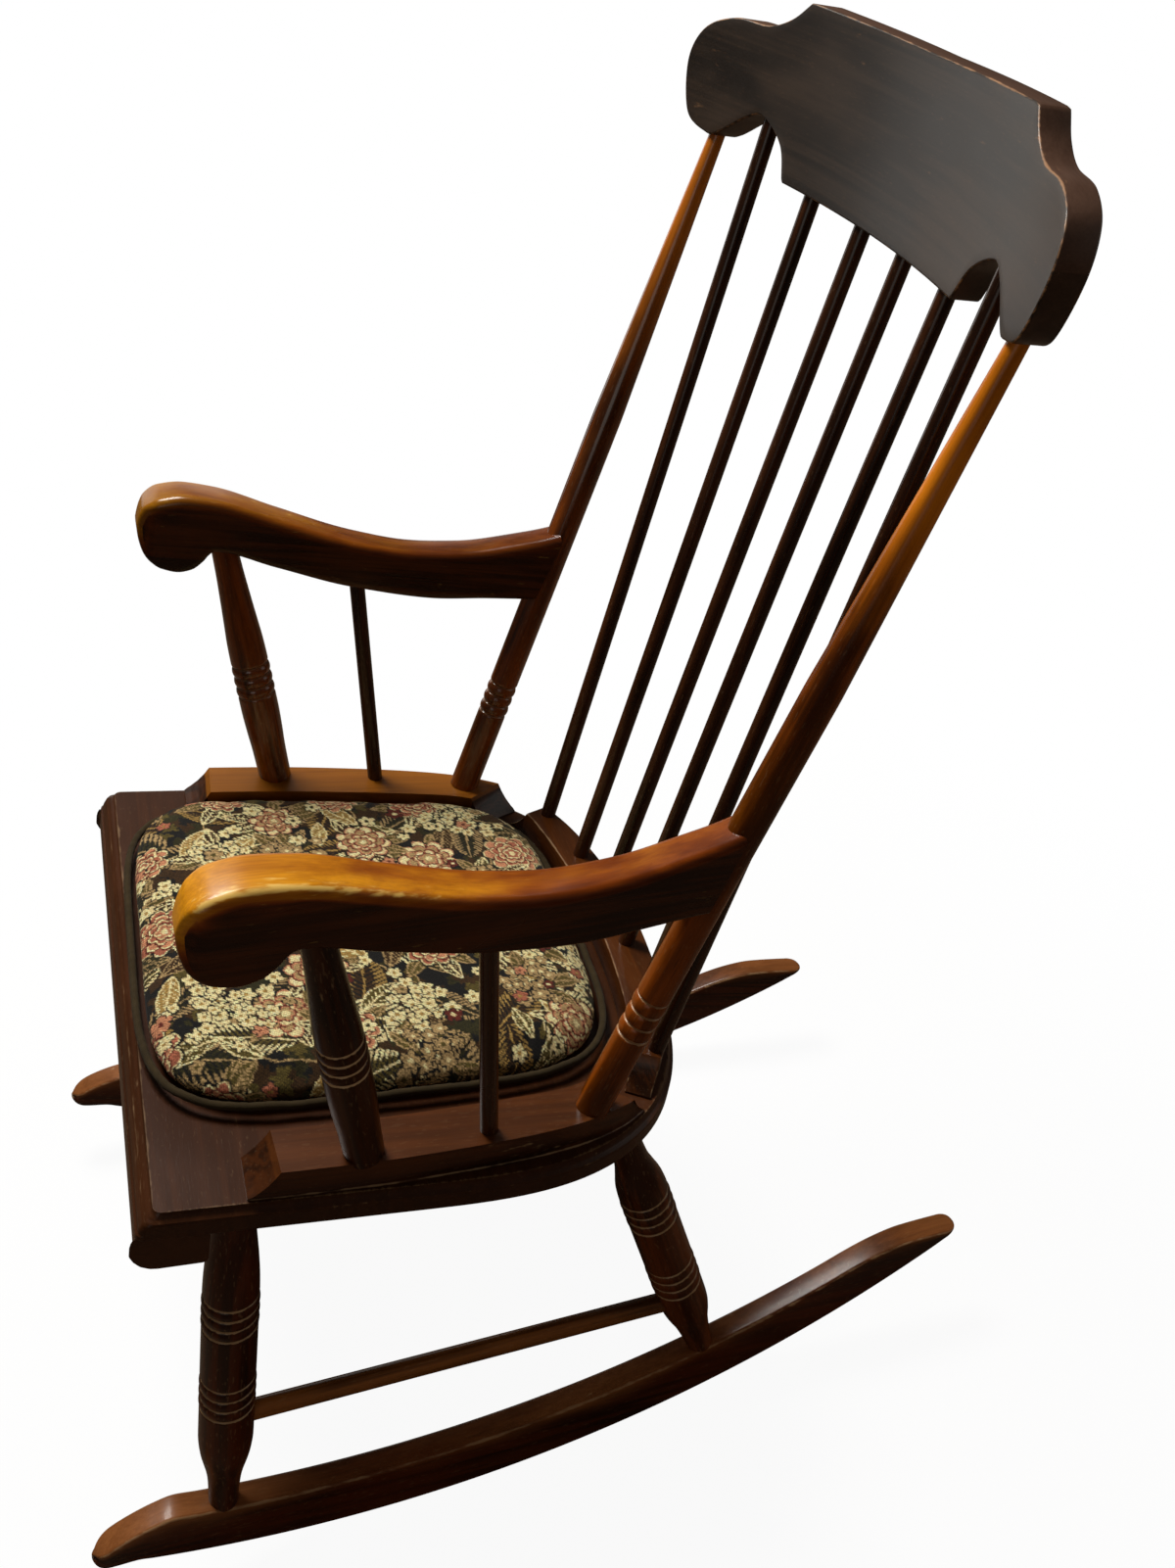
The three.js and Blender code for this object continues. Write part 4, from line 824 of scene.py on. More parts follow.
FRONT_LEG = [(0, 0.715), (0.081, 0.767), (0.13, 0.835), (0.183, 0.913), (0.254, 0.981), (0.31, 1), (0.763, 1),
             (0.802, 0.956), (0.835, 0.874), (0.867, 0.757), (0.897, 0.66), (0.929, 0.6), (1.0, 0.55)]
REAR_LEG = [(0, 0.6), (0.089, 0.628), (0.15, 0.676), (0.2, 0.821), (0.24, 0.947), (0.28, 0.99), (0.32, 1),
            (0.763, 1), (0.805, 0.976), (0.845, 0.879), (0.884, 0.74), (0.92, 0.66), (0.955, 0.6), (1.0, 0.55)]
# For each pair: its outline, where its heads meet the seat, where its feet stand, its grooves and its finish.
LEGS = {
    "front": (FRONT_LEG, on_seat((0.8618, 0.135), -SEAT_THICK), 68.4, [91.7, 172.9], "leg_wood"),
    "rear": (REAR_LEG, on_seat((0.7358, 0.8219), -SEAT_THICK), 470.5, [82.8, 166.8], "rear_leg_wood"),
}


def seat_ring(inset, forward):
    """The seat's outline: straight front with small rounded corners, straight sides, and a superelliptic back."""
    half, corner = SEAT_HALF - inset, SEAT_CORNER
    front = np.linspace(-(half - corner), half - corner, 60)
    a = np.linspace(-math.pi / 2, 0, 8)
    right = np.stack([half - corner + corner * np.cos(a), -forward + corner + corner * np.sin(a)], -1)
    side = np.linspace(-forward + corner, SEAT_BACK_Y, 26)[1:-1]
    t = np.linspace(0, math.pi / 2, 46)
    back_y = SEAT_BACK_Y + (SEAT_LENGTH - SEAT_BACK_Y - inset) * np.sin(t) ** SEAT_BACK_POWER
    back = np.stack([half * np.cos(t) ** SEAT_BACK_POWER, back_y], -1)
    half_ring = np.vstack([right, np.stack([np.full_like(side, half), side], -1), back])
    front = np.stack([front, np.full_like(front, -forward)], -1)
    return np.vstack([front, half_ring, half_ring[::-1][1:] * [-1, 1]])


def seat_shape():
    """The seat board: its outline carried down an edge moulding, and drawn in to a pole on each face."""
    edge = [(0, 1), (0.1, 0.84), (0.2, 0.56), (0.27, 0.08), (0.36, 0), (0.87, 0), (1, 0.5)]
    nosing = [(0, 0), (0.07, 0.07), (0.19, 0.34), (0.36, 0.6), (0.55, 0.77), (0.69, 0.84), (0.74, 0.96), (0.91, 1),
              (1, 0.93)]
    kinks = [0.1, 0.2, 0.27, 0.36, 0.69, 0.74, 0.87, 0.91]
    downs = np.unique(np.round(np.concatenate([np.linspace(0, 1, 34), kinks]), 3))
    inset, forward = SEAT_INSET * np.interp(downs, *zip(*edge)), SEAT_NOSING * np.interp(downs, *zip(*nosing))
    edges = [seat_ring(*ring) for ring in zip(inset, forward)]
    rings = [(SEAT_CENTRE + (edges[0] - SEAT_CENTRE) * scale, 0.0) for scale in (0, 0.25, 0.5, 0.75, 0.93, 0.985)]
    rings += [(ring, -down * SEAT_THICK) for ring, down in zip(edges, downs)]
    rings += [(SEAT_CENTRE + (edges[-1] - SEAT_CENTRE) * scale, -SEAT_THICK) for scale in (0.95, 0.5, 0)]
    grid = np.stack([np.column_stack([ring, np.full(len(ring), z)]) for ring, z in rings])
    marks = np.zeros(grid.shape)
    arris = [math.exp(-((down / 0.03) ** 2)) + 0.6 * math.exp(-(((down - 0.3) / 0.05) ** 2)) for down in downs]
    marks[6:-3, :, 0] = np.array(arris)[:, None]
    return grid, grid[..., [1, 2, 0]] / MM + 3.0, marks


def rail_board(inner, outer, seed):
    """A rail on the seat: its plan between two curves, and a height that a hollow cove brings down at each end."""
    at = crowded(150, 0.8)
    scale = np.array([SEAT_HALF, SEAT_LENGTH])
    low, high = (even(path_through(np.array(line) * scale), at) for line in (inner, outer))
    run = run_along((low + high) / 2)
    to_end = np.minimum(run, run[-1] - run) / RAIL_COVE
    cove = [(0, 0.06), (0.26, 0.22), (0.56, 0.46), (0.82, 0.74), (1, 1)]
    height = (RAIL_HEIGHT - GAP) * np.interp(to_end, *zip(*cove))
    place = lambda a, b, s: np.stack([a, b, s + GAP], -1)
    grid, _, marks = board(low, high, height / 2, 1.6, 1.6, place, seed, middle=height / 2, face_rows=5)
    along_x = abs(high[-1, 0] - high[0, 0]) > abs(high[-1, 1] - high[0, 1])
    grain = grid[..., [1, 2, 0] if along_x else [0, 2, 1]] / MM + seed
    # The rail's top is marked to be lighter: painted light on its top.
    marks[..., 2] = grid[..., 2] > 0.8 * RAIL_HEIGHT
    return grid, grain, marks


# ---------------------------------------------------------------- settings


def colour_property(name, description, default):
    """A linear colour setting."""
    return bpy.props.FloatVectorProperty(
        name=name, description=description, default=default, subtype="COLOR", size=3, min=0, max=1)


def number_property(name, description, default, **more):
    """A number setting."""
    return bpy.props.FloatProperty(name=name, description=description, default=default, **more)


class ChairFinishSettings(bpy.types.PropertyGroup):
    """Colours, wear and painted light of the stained beech."""

    seat: colour_property("Seat stain", "Walnut stain of the seat", (0.074, 0.022, 0.006))
    rails: colour_property("Rail stain", "Stain of the rails on the seat", (0.070, 0.018, 0.003))
    turned: colour_property("Post stain", "Red-brown stain of the turned posts", (0.31, 0.066, 0.003))
    spindles: colour_property("Spindle stain", "Dark stain of the slim spindles", (0.066, 0.019, 0.005))
    crest: colour_property("Crest stain", "Cool dark stain of the crest rail", (0.042, 0.025, 0.015))
    arms: colour_property("Arm stain", "Stain of the arms where it is whole", (0.085, 0.018, 0.002))
    legs: colour_property("Leg stain", "Stain of the front legs and rockers", (0.11, 0.019, 0.002))
    # The honey colour and how far it reaches stand for wear and for painted light on the arm tops.
    honey: colour_property("Rubbed colour", "Colour of the arms where sleeves have rubbed them", (0.73, 0.30, 0.007))
    bare: colour_property("Bare wood", "Colour of the beech in chips and grooves", (0.58, 0.38, 0.20))
    rubbed_and_lit: number_property("Rubbing", "How far the tops of the arms are rubbed through", 1.0,
                            min=0, max=1, subtype="FACTOR")
    # Bright arrises are chipped wear, and on the arms a painted reflection as well.
    chips_and_gleam: number_property("Worn arrises", "How much bare wood shows along sawn edges", 0.4,
                           min=0, max=1, subtype="FACTOR")


class ChairPadSettings(bpy.types.PropertyGroup):
    """Form and cloth of the seat pad."""

    thickness: number_property("Thickness", "Height of the pad's crown over the seat", 0.030, unit="LENGTH")
    swell: number_property("Most swell", "How far the cloth may move when the pad is filled", 0.006, unit="LENGTH")
    pressure: number_property("Filling pressure", "Pressure inside the pad while it is filled", 4.0)
    knot: number_property("Knot size", "Width of one knot of the tapestry", 0.00115, unit="LENGTH")
    ground: colour_property("Ground", "Near-black ground of the tapestry", (0.009, 0.0085, 0.008))
    cream: colour_property("Blossom", "Cream blossom of the tapestry", (0.90, 0.72, 0.36))
    salmon: colour_property("Petals", "Salmon petals of the tapestry", (0.56, 0.235, 0.12))
    piping: colour_property("Piping", "Olive-brown of the corded seam", (0.042, 0.027, 0.009))


def scaled(stain, share):
    """A darker or lighter stain."""
    return tuple(v * share for v in stain)


def wood_of(finish):
    """A named finish, made when it is first asked for. A whole stain is darkened in its figure by its dark share."""
    name = finish.replace("_", " ") + ", stained"
    if name in bpy.data.materials:
        return bpy.data.materials[name]
    if "Stained beech" not in bpy.data.node_groups:
        make_grain_group()
        make_wear_group()
    f = bpy.context.scene.chair_finish
    warm = lambda stain: tuple(min(1.0, v * k) for v, k in zip(stain, (2.1, 2.3, 2.2)))
    # On the arms the bare colour is the bright arris band, bare wood with a painted reflection.
    arm = dict(stain=f.arms, rubbed_and_lit=tuple(f.honey), half_rubbed_and_lit=(0.58, 0.24, 0.2), bare=(0.95, 0.60, 0.15),
               figure=0.85, fleck=0, coat=0.22)
    looks = {
        "seat_wood": dict(stain=f.seat, dark_share=0.5, rubbed_and_lit=warm(f.seat), rubbed_and_lit_amount=0.3, arris=f.chips_and_gleam * 0.5,
                          figure=0.5, fleck=0.03, cloudy=0.4, gloss=0.32, shine=0.2, coat=0.06),
        # The rails' lighter tops are painted light.
        "rail_wood": dict(stain=f.rails, rubbed_and_lit=warm(f.rails), rubbed_and_lit_amount=0.4, arris=f.chips_and_gleam * 0.9, figure=0.8,
                          fleck=0.04, gloss=0.27),
        # The far rail's top lightens fully to a brighter colour: a lit copy of the rail finish, painted light.
        "far_rail_wood": dict(stain=f.rails, rubbed_and_lit=(0.27, 0.088, 0.004), rubbed_and_lit_amount=1.0, arris=f.chips_and_gleam * 0.9,
                              figure=0.9, fleck=0.04, gloss=0.27),
        # The near arm post takes the post stain darkened to a fifth: painted shade.
        "arm_post_wood": dict(stain=scaled(f.turned, 0.2), arris=0.3, groove=1.0, figure=0.8, fleck=0.1, gloss=0.26,
                              coat=0.06),
        # The near post's lighter upper colour is painted light together with wear.
        "turned_wood": dict(stain=f.turned, rubbed_and_lit=(0.72, 0.215, 0.004), rubbed_and_lit_amount=1.0, arris=0.3, groove=0.5,
                            figure=1.0, fleck=0.06, cloudy=0.6, gloss=0.24),
        # The far posts take the post stain darkened: painted shade; their tops still lighten with painted light and
        # wear.
        "far_turned_wood": dict(stain=scaled(f.turned, 0.8), rubbed_and_lit=(0.62, 0.18, 0.008), rubbed_and_lit_amount=0.8,
                                groove=0.2, figure=0.9, fleck=0.05, cloudy=0.5, gloss=0.16, coat=0.8),
        "spindle_wood": dict(stain=f.spindles, figure=0.8, fleck=0.04, gloss=0.22, coat=0.35),
        # The crest's lighter colour shows most on its top edge, a painted sheen with wear.
        "crest_wood": dict(stain=f.crest, rubbed_and_lit=(0.105, 0.05, 0.03), rubbed_and_lit_amount=0.8, bare=(0.42, 0.21, 0.09),
                           arris=f.chips_and_gleam * 1.6, figure=0.45, fleck=0.02, cloudy=0.55, gloss=0.38, coat=0.12,
                           shine=0.3),
        "arm_wood": dict(arm, rubbed_and_lit_amount=f.rubbed_and_lit, arris=f.chips_and_gleam * 2.4, gloss=0.24),
        # The far arm has less top lightening and a fainter arris band than the near arm: a dimmer copy, painted shade.
        "far_arm_wood": dict(arm, rubbed_and_lit_amount=f.rubbed_and_lit * 0.34, arris=f.chips_and_gleam * 0.5, gloss=0.2),
        "leg_wood": dict(stain=f.legs, groove=0.72, figure=0.85, fleck=0.12, gloss=0.28),
        "rear_leg_wood": dict(stain=(0.19, 0.045, 0.009), groove=0.72, figure=0.85, fleck=0.1, gloss=0.28),
        # The rocker's lighter top is painted light with some wear.
        "rocker_wood": dict(stain=f.legs, rubbed_and_lit=(0.30, 0.108, 0.03), rubbed_and_lit_amount=0.9, arris=f.chips_and_gleam * 0.9,
                            figure=0.85, fleck=0.08, gloss=0.28),
        # The stretchers' stain is lighter than the legs': a mid-brown stain raised to stand in for light on their
        # tops, painted light.
        "stretcher_wood": dict(stain=(0.36, 0.12, 0.025), figure=0.9, fleck=0.08, gloss=0.26),
        "dowel_wood": dict(stain=f.bare, dark_share=0.8, figure=0.5, gloss=0.6, coat=0.0, on_object=True),
    }
    look = {"arris": f.chips_and_gleam, "bare": tuple(f.bare), "dark_share": 0.2, **looks[finish]}
    stain = tuple(look.pop("stain"))
    return wood(name, scaled(stain, look.pop("dark_share")), stain, **look)


# ---------------------------------------------------------------- pieces


class CHAIR_OT_seat_board(bpy.types.Operator):
    """Make the seat board and the rolled strip under its front edge"""

    bl_idname = "chair.seat_board"
    bl_label = "Seat board"

    def execute(self, context):
        dress("seat_board", seat_shape(), "seat_wood", "seat_wood", nodes=["seat"])
        under = [(0, 0.35), (0, 0.5), (0.055, 0.7), (0.145, 0.88), (0.26, 0.98), (0.36, 1), (1, 0.96), (1, 0.5)]
        over = [(0, 0.35), (0.0, 0.2), (0.02, 0), (1, 0), (1, 0.5)]
        shift = np.array([-SEAT_NOSING, -SEAT_THICK - GAP])
        low, high = (even(line, np.linspace(0, 1, 60)) * ROLL_SIZE + shift for line in (over, under))
        place = lambda a, b, s: np.stack([s, a, b], -1)
        grid, _, marks = board(low, high, ROLL_HALF_LENGTH, 3.0, 3.0, place, 11, face_rows=3)
        shape = grid, grid[..., [1, 2, 0]] / MM + 4.0, marks * [1, 1, 0]
        dress("front_roll", shape, "seat_wood", "seat_wood", nodes=["seat_front_roll"])
        return {"FINISHED"}


class CHAIR_OT_seat_rails(bpy.types.Operator):
    """Make the two side rails and the back rail that stand on the seat"""

    bl_idname = "chair.seat_rails"
    bl_label = "Seat rails"

    def execute(self, context):
        outer = [(0.971, 0.144), (0.971, 0.233), (0.964, 0.377), (0.942, 0.538), (0.916, 0.654), (0.885, 0.733),
                 (0.838, 0.803), (0.783, 0.852)]
        inner = [(0.826, 0.144), (0.826, 0.233), (0.818, 0.377), (0.798, 0.538), (0.779, 0.654), (0.759, 0.719),
                 (0.716, 0.778)]
        for (side, sign), finish in zip(SIDES.items(), ("rail_wood", "far_rail_wood")):
            dress(f"side_rail_{side}_dressed", rail_board(inner, outer, 5 + sign), finish, "rail_wood", sign)
        outer = [(0, 0.98), (0.207, 0.974), (0.356, 0.962), (0.509, 0.94), (0.626, 0.914), (0.744, 0.873)]
        inner = [(0, 0.895), (0.235, 0.889), (0.466, 0.872), (0.626, 0.851), (0.704, 0.831)]
        inner, outer = ([(-a, b) for a, b in line[:0:-1]] + line for line in (inner, outer))
        dress("back_rail_dressed", rail_board(inner, outer, 8), "rail_wood", "rail_wood")
        return {"FINISHED"}


class CHAIR_OT_crest_rail(bpy.types.Operator):
    """Make the bowed crest rail with its scooped ears"""

    bl_idname = "chair.crest_rail"
    bl_label = "Crest rail"

    def execute(self, context):
        x = crest_edges(np.zeros(1))[2] * np.sin(math.pi / 2 * np.linspace(-1, 1, 321))
        low, high = (np.stack([x, edge], -1) for edge in crest_edges(x)[:2])
        grid, grain, marks = board(low, high, CREST_HALF_THICK, 1.7, 1.7, crest_place, 21, face_rows=12)
        # The lower arris is a little lighter with wear; the top edge is lightest, a painted sheen as well as wear.
        rubbed_and_lit = np.zeros(marks.shape[1])
        rubbed_and_lit[3:7], rubbed_and_lit[23:29] = [0.3, 0.6, 0.6, 0.3], [0.35, 0.7, 1.15, 1.15, 0.7, 0.35]
        marks[..., 2] = rubbed_and_lit
        dress("crest_rail_dressed", (grid, grain, marks), "crest_wood", "crest_wood")
        return {"FINISHED"}


class CHAIR_OT_back_posts(bpy.types.Operator):
    """Turn the two back posts with their rings of grooves"""

    bl_idname = "chair.back_posts"
    bl_label = "Back posts"

    def execute(self, context):
        thick, thin = BACK_POST_RADII
        ends = [-SINK, POST_LENGTH * 0.6, POST_LENGTH + SINK]
        body = lambda z: np.interp(z, ends, [thick, thick, thin])
        # The posts lighten towards the top: painted light, together with wear.
        lit_and_handled = lambda z: np.interp(z / POST_LENGTH, [0, 0.3, 0.6, 0.85, 0.97], [0.12, 0.08, 0.14, 0.9, 0.8])
        lowest = POST_LENGTH * 0.126
        kinds = ("right", lowest - 5, 12.0, "turned_wood"), ("left", lowest, GROOVE_PITCH, "far_turned_wood")
        for side, start, pitch, finish in kinds:
            foot, head = [(-16.5, 9.5), (-SINK, 9.5)], [(POST_LENGTH + 16, thin)]
            profile = grooved_stick(POST_LENGTH, body, [start], pitch, foot, head)
            shape = turned(profile, POST_FOOT, POST_HEAD, side, 30 + SIDES[side], 48, ([start], pitch), lit_and_handled)
            dress(f"back_post_{side}_dressed", shape, finish, "turned_wood")
        return {"FINISHED"}


class CHAIR_OT_back_spindles(bpy.types.Operator):
    """Make the six slim spindles of the back"""

    bl_idname = "chair.back_spindles"
    bl_label = "Back spindles"

    def execute(self, context):
        feet = [(0.1186, 0.9355), (0.3734, 0.9264), (0.6282, 0.8964)]
        for k, (foot, head) in enumerate(zip(feet, (0.1187, 0.3848, 0.6516))):
            a, b = on_seat(foot, RAIL_HEIGHT), crest_foot(CREST_HALF * head)
            profile = dowel_profile(np.linalg.norm(b - a), *SPINDLE, 16)
            for side, number in (("right", 4 + k), ("left", 3 - k)):
                shape = turned(profile, a, b, side, 40 + number, 28)
                dress(f"back_spindle_{number}_dressed", shape, "spindle_wood", "spindle_wood")
        return {"FINISHED"}


class CHAIR_OT_arms(bpy.types.Operator):
    """Make the two scrolled arms, rounded over, lighter on top through wear and painted light"""

    bl_idname = "chair.arms"
    bl_label = "Arms"

    def execute(self, context):
        nose_shares = 0.06 * (1 - np.cos(np.linspace(0, math.pi / 2, 28)))
        share = np.concatenate([nose_shares, np.linspace(0.06, (ARM_LENGTH - 6.0) / ARM_LENGTH, 118)[1:]])
        y = ARM_NOSE_Y + share * ARM_LENGTH
        low, high = (np.stack([y, arm_edge(share, line)], -1) for line in (ARM_UNDER, ARM_TOP))
        width = np.interp(y, [ARM_POST_Y, ARM_BACK[1]], ARM_WIDTHS) + (y < ARM_POST_Y) * (ARM_POST_Y - y) * 0.0327
        half = width / 2 - 8 * np.clip(1 - share * ARM_LENGTH / 19, 0, 1) ** 3
        slope = (POST_HEAD - POST_FOOT)[1] / (POST_HEAD - POST_FOOT)[2]

        def place(a, b, s, reach, lift):
            """Leans the arm's rear end with the back post, and moves its nose forward and up."""
            pull = np.clip((a - ARM_BACK[1] + 70) / 64, 0, 1)
            lean = pull * pull * (3 - 2 * pull) * (b - ARM_AXIS_Z) * slope
            front = np.clip(1 - (a - ARM_NOSE_Y) / 150, 0, 1) ** 1.5
            return np.stack([arm_middle(a) + s, a + lean - reach * front, b + lift * front], -1)

        def rubbed_and_lit(a):
            """Sleeves rub most at the nose, and the top's painted light is strongest there too."""
            return 1.28 - 0.72 * np.clip((a - ARM_NOSE_Y) / ARM_LENGTH, 0, 1) ** 0.42

        kinds = ("right", 7.0, 1.5, "arm_wood"), ("left", -5.5, -2.5, "far_arm_wood")
        for side, reach, lift, finish in kinds:
            own_place = partial(place, reach=reach, lift=lift)
            grid, grain, marks = board(low, high, half, 3.5, 6.5, own_place, 50 + SIDES[side], face_rows=12, arc=7,
                                       rubbed_and_lit=rubbed_and_lit)
            share_back = (grain[..., 2] - grain[..., 2].min()) * MM / ARM_LENGTH
            # A pale band along the outer top arris, fading to the back: wear with a painted reflection on it.
            worn_and_lit = np.zeros(marks.shape[1])
            worn_and_lit[27:43] = [0, 0.2, 0.5, 0.85, 1.1, 1.05, 0.85, 0.62, 0.1, 0.3, 0.5, 0.5, 0.3, 0.2, 0.1, 0]
            marks[..., 0] = worn_and_lit * np.clip(1.25 - 1.9 * share_back, 0.1, 1) * np.clip(share_back * 30, 0, 1)
            # The nose's front and, near it, the sides are lightened too: wear and painted light.
            drop = grid[0, 0, 2] - grid[:, :16, 2]
            at_nose = np.clip(1.6 - (grid[..., 1] - grid[0, 0, 1]) / 14, 0, 1)
            for face in (slice(16, 27), slice(43, None)):
                marks[:, face, 2] *= 0.3 + 0.7 * at_nose[:, face]
            marks[:, :16, 2] = 1.05 * np.clip(1 - drop / 30, 0, 1) * at_nose[:, :16]
            dress(f"arm_{side}_dressed", (grid, grain, marks), finish, "arm_wood", SIDES[side], sharp=55)
        return {"FINISHED"}


class CHAIR_OT_arm_supports(bpy.types.Operator):
    """Turn the arm posts and the slim arm spindles behind them"""

    bl_idname = "chair.arm_supports"
    bl_label = "Arm posts and spindles"

    def execute(self, context):
        foot, head = on_seat((0.9256, 0.3283), RAIL_HEIGHT), arm_point(ARM_POST_Y)
        length = np.linalg.norm(head - foot)
        shares = [(-SINK / length, 0.856), (0.124, 0.892), (0.212, 0.958), (0.31, 1), (0.531, 0.982), (0.597, 0.958),
                  (0.664, 0.898), (0.774, 0.802), (0.885, 0.719), (1.02, 0.659)]
        body = lambda z: ARM_POST_RADIUS * smooth(z / length, *zip(*shares))
        a, b = on_seat((0.8943, 0.5425), RAIL_HEIGHT), arm_point(ARM_SPINDLE_Y)
        slim = dowel_profile(np.linalg.norm(b - a), *SPINDLE, 17)
        tenons = [(-16.5, 10), (-SINK, 10)], [(length + SINK, 8), (length + 17, 8)]
        kinds = ("right", length * 0.41, "arm_post_wood"), ("left", length * 0.37, "far_turned_wood")
        for side, start, finish in kinds:
            grooves = [start], GROOVE_PITCH
            profile = grooved_stick(length, body, *grooves, *tenons)
            shape = turned(profile, foot, head, side, 60 + SIDES[side], 48, grooves)
            dress(f"arm_post_{side}_dressed", shape, finish, "turned_wood")
            shape = turned(slim, a, b, side, 64 + SIDES[side], 28)
            dress(f"arm_spindle_{side}_dressed", shape, "spindle_wood", "spindle_wood")
            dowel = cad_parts[f"arm_dowel_{side}"]
            dowel.data.materials.clear()
            dowel.data.materials.append(wood_of("dowel_wood"))
        return {"FINISHED"}


class CHAIR_OT_legs(bpy.types.Operator):
    """Turn the four legs and the stretchers between them"""

    bl_idname = "chair.legs"
    bl_label = "Legs and stretchers"

    def execute(self, context):
        met = []
        for which, (shares, head, foot_y, starts, finish) in LEGS.items():
            foot = leg_foot(foot_y)
            length = np.linalg.norm(foot - head)
            body = lambda z: LEG_RADIUS * smooth(z / length, *zip(*shares))
            tenons = [(-16, 10.5), (-SINK, 10.5)], [(length + SINK, 6.6), (length + 20, 6.6)]
            grooves = starts, GROOVE_PITCH
            profile = grooved_stick(length, body, *grooves, *tenons)
            share = STRETCHER_SHARES[which]
            met.append((head + (foot - head) * share, LEG_RADIUS * float(smooth(share, *zip(*shares)))))
            for side, sign in SIDES.items():
                shape = turned(profile, head, foot, side, int(70 + foot_y + sign), 52, grooves)
                dress(f"leg_{which}_{side}_dressed", shape, finish, "leg_wood")
        (front, front_r), (rear, rear_r) = met
        way = (rear - front) / np.linalg.norm(rear - front)
        a, b = front + way * front_r, rear - way * rear_r
        profile = dowel_profile(np.linalg.norm(b - a), *STRETCHER, sink=3.0)
        for side, sign in SIDES.items():
            shape = turned(profile, a, b, side, 90 + sign, 32)
            dress(f"stretcher_{side}_dressed", shape, "stretcher_wood", "leg_wood")
        return {"FINISHED"}


class CHAIR_OT_rockers(bpy.types.Operator):
    """Make the two long rockers with their shaped tips"""

    bl_idname = "chair.rockers"
    bl_label = "Rockers"

    def execute(self, context):
        at = crowded(261, 0.93)
        low, high = (even(path_through(rocker_edge(line), 24), at) for line in (ROCKER_UNDER, ROCKER_OVER))
        for end in (0, -1):
            low[end] = high[end] = (low[end] + high[end]) / 2
        y = (low[:, 0] + high[:, 0]) / 2
        to_end = np.clip(np.minimum(y - y[0], y[-1] - y) / 12.0, 0, 1)
        half = ROCKER_HALF_THICK * np.sqrt(np.maximum(1 - (1 - to_end) ** 2, 0.004))
        height = np.where(y > np.mean(y), np.linalg.norm(high - low, axis=1), 99)
        under_round, top_round = (np.clip(0.4 * height, 0.5, most) for most in (2.0, 3.2))
        place = lambda a, b, s: np.stack([rocker_plane(a) + s, a, b], -1)
        # The top's lightening, painted light with some wear, swings gently along the rocker.
        rubbed_and_lit = lambda a: 0.75 + 0.25 * np.cos(a / 60.0)
        for side, sign in SIDES.items():
            shape = board(low, high, half, under_round, top_round, place, 80 + sign, arc=5, rubbed_and_lit=rubbed_and_lit)
            dress(f"rocker_{side}_dressed", shape, "rocker_wood", "leg_wood", sign)
        return {"FINISHED"}


# ---------------------------------------------------------------- seat pad


def pad_ring(angle, inset=0.0):
    """The pad's outline: a superellipse, a little narrower at the back, in its own plane."""
    power = 2 / np.where(np.sin(angle) < 0, *PAD_POWERS)
    back, across = (np.sign(v) * np.abs(v) ** power for v in (np.sin(angle), np.cos(angle)))
    return np.stack([(PAD_HALF[0] - inset) * (across * (1 - PAD_TAPER * back)), (PAD_HALF[1] - inset) * back], -1)


def pad_place(flat, z):
    """From the pad's own plane to the seat frame: a small turn, then a move."""
    c, s = math.cos(PAD_TURN), math.sin(PAD_TURN)
    x, y = flat[..., 0], flat[..., 1]
    return np.stack([x * c - y * s + PAD_CENTRE[0], x * s + y * c + PAD_CENTRE[1], np.broadcast_to(z, x.shape)], -1)


def even_angles(count):
    """Angles whose places lie evenly round the pad's outline."""
    a = np.linspace(0, 2 * math.pi, 4001)
    run = run_along(pad_ring(a))
    return np.interp(np.linspace(0, run[-1], count, endpoint=False), run, a)


def read_places(mesh):
    """A mesh's points as an array."""
    places = np.empty(len(mesh.vertices) * 3, np.float32)
    mesh.vertices.foreach_get("co", places)
    return places.reshape(-1, 3).astype(float)


def apply_modifiers(piece):
    """Makes what a piece's modifiers show its mesh."""
    depsgraph = bpy.context.evaluated_depsgraph_get()
    made = bpy.data.meshes.new_from_object(piece.evaluated_get(depsgraph))
    piece.modifiers.clear()
    old, piece.data = piece.data, made
    bpy.data.meshes.remove(old)


def even_out(piece, size):
    """Gives a piece's mesh cells of one size, so a pattern painted on its points is equally fine all over."""
    remesh = piece.modifiers.new("Even", "REMESH")
    remesh.mode, remesh.voxel_size = "VOXEL", size
    apply_modifiers(piece)


def fill_pad(piece, pressure, most):
    """Swells the pad as cloth under pressure, caps how far each point moves, and keeps its underside on the seat."""
    start = read_places(piece.data)
    settings = piece.modifiers.new("Fill", "CLOTH").settings
    settings.quality = 6
    settings.mass = 0.3
    settings.use_pressure = True
    settings.uniform_pressure_force = pressure
    settings.effector_weights.gravity = 0
    scene = bpy.context.scene
    for step in range(1, FILL_STEPS + 1):
        scene.frame_set(step)
    apply_modifiers(piece)
    scene.frame_set(1)
    moved = read_places(piece.data) - start
    far = np.linalg.norm(moved, axis=1, keepdims=True)
    moved *= np.minimum(1, most / np.maximum(far, 1e-9))
    seat = to_seat(start + moved)
    seat[:, 2] = np.maximum(seat[:, 2], PAD_FLOOR)
    piece.data.vertices.foreach_set("co", np.ascontiguousarray(to_row(seat), np.float32).reshape(-1))
    piece.data.update()


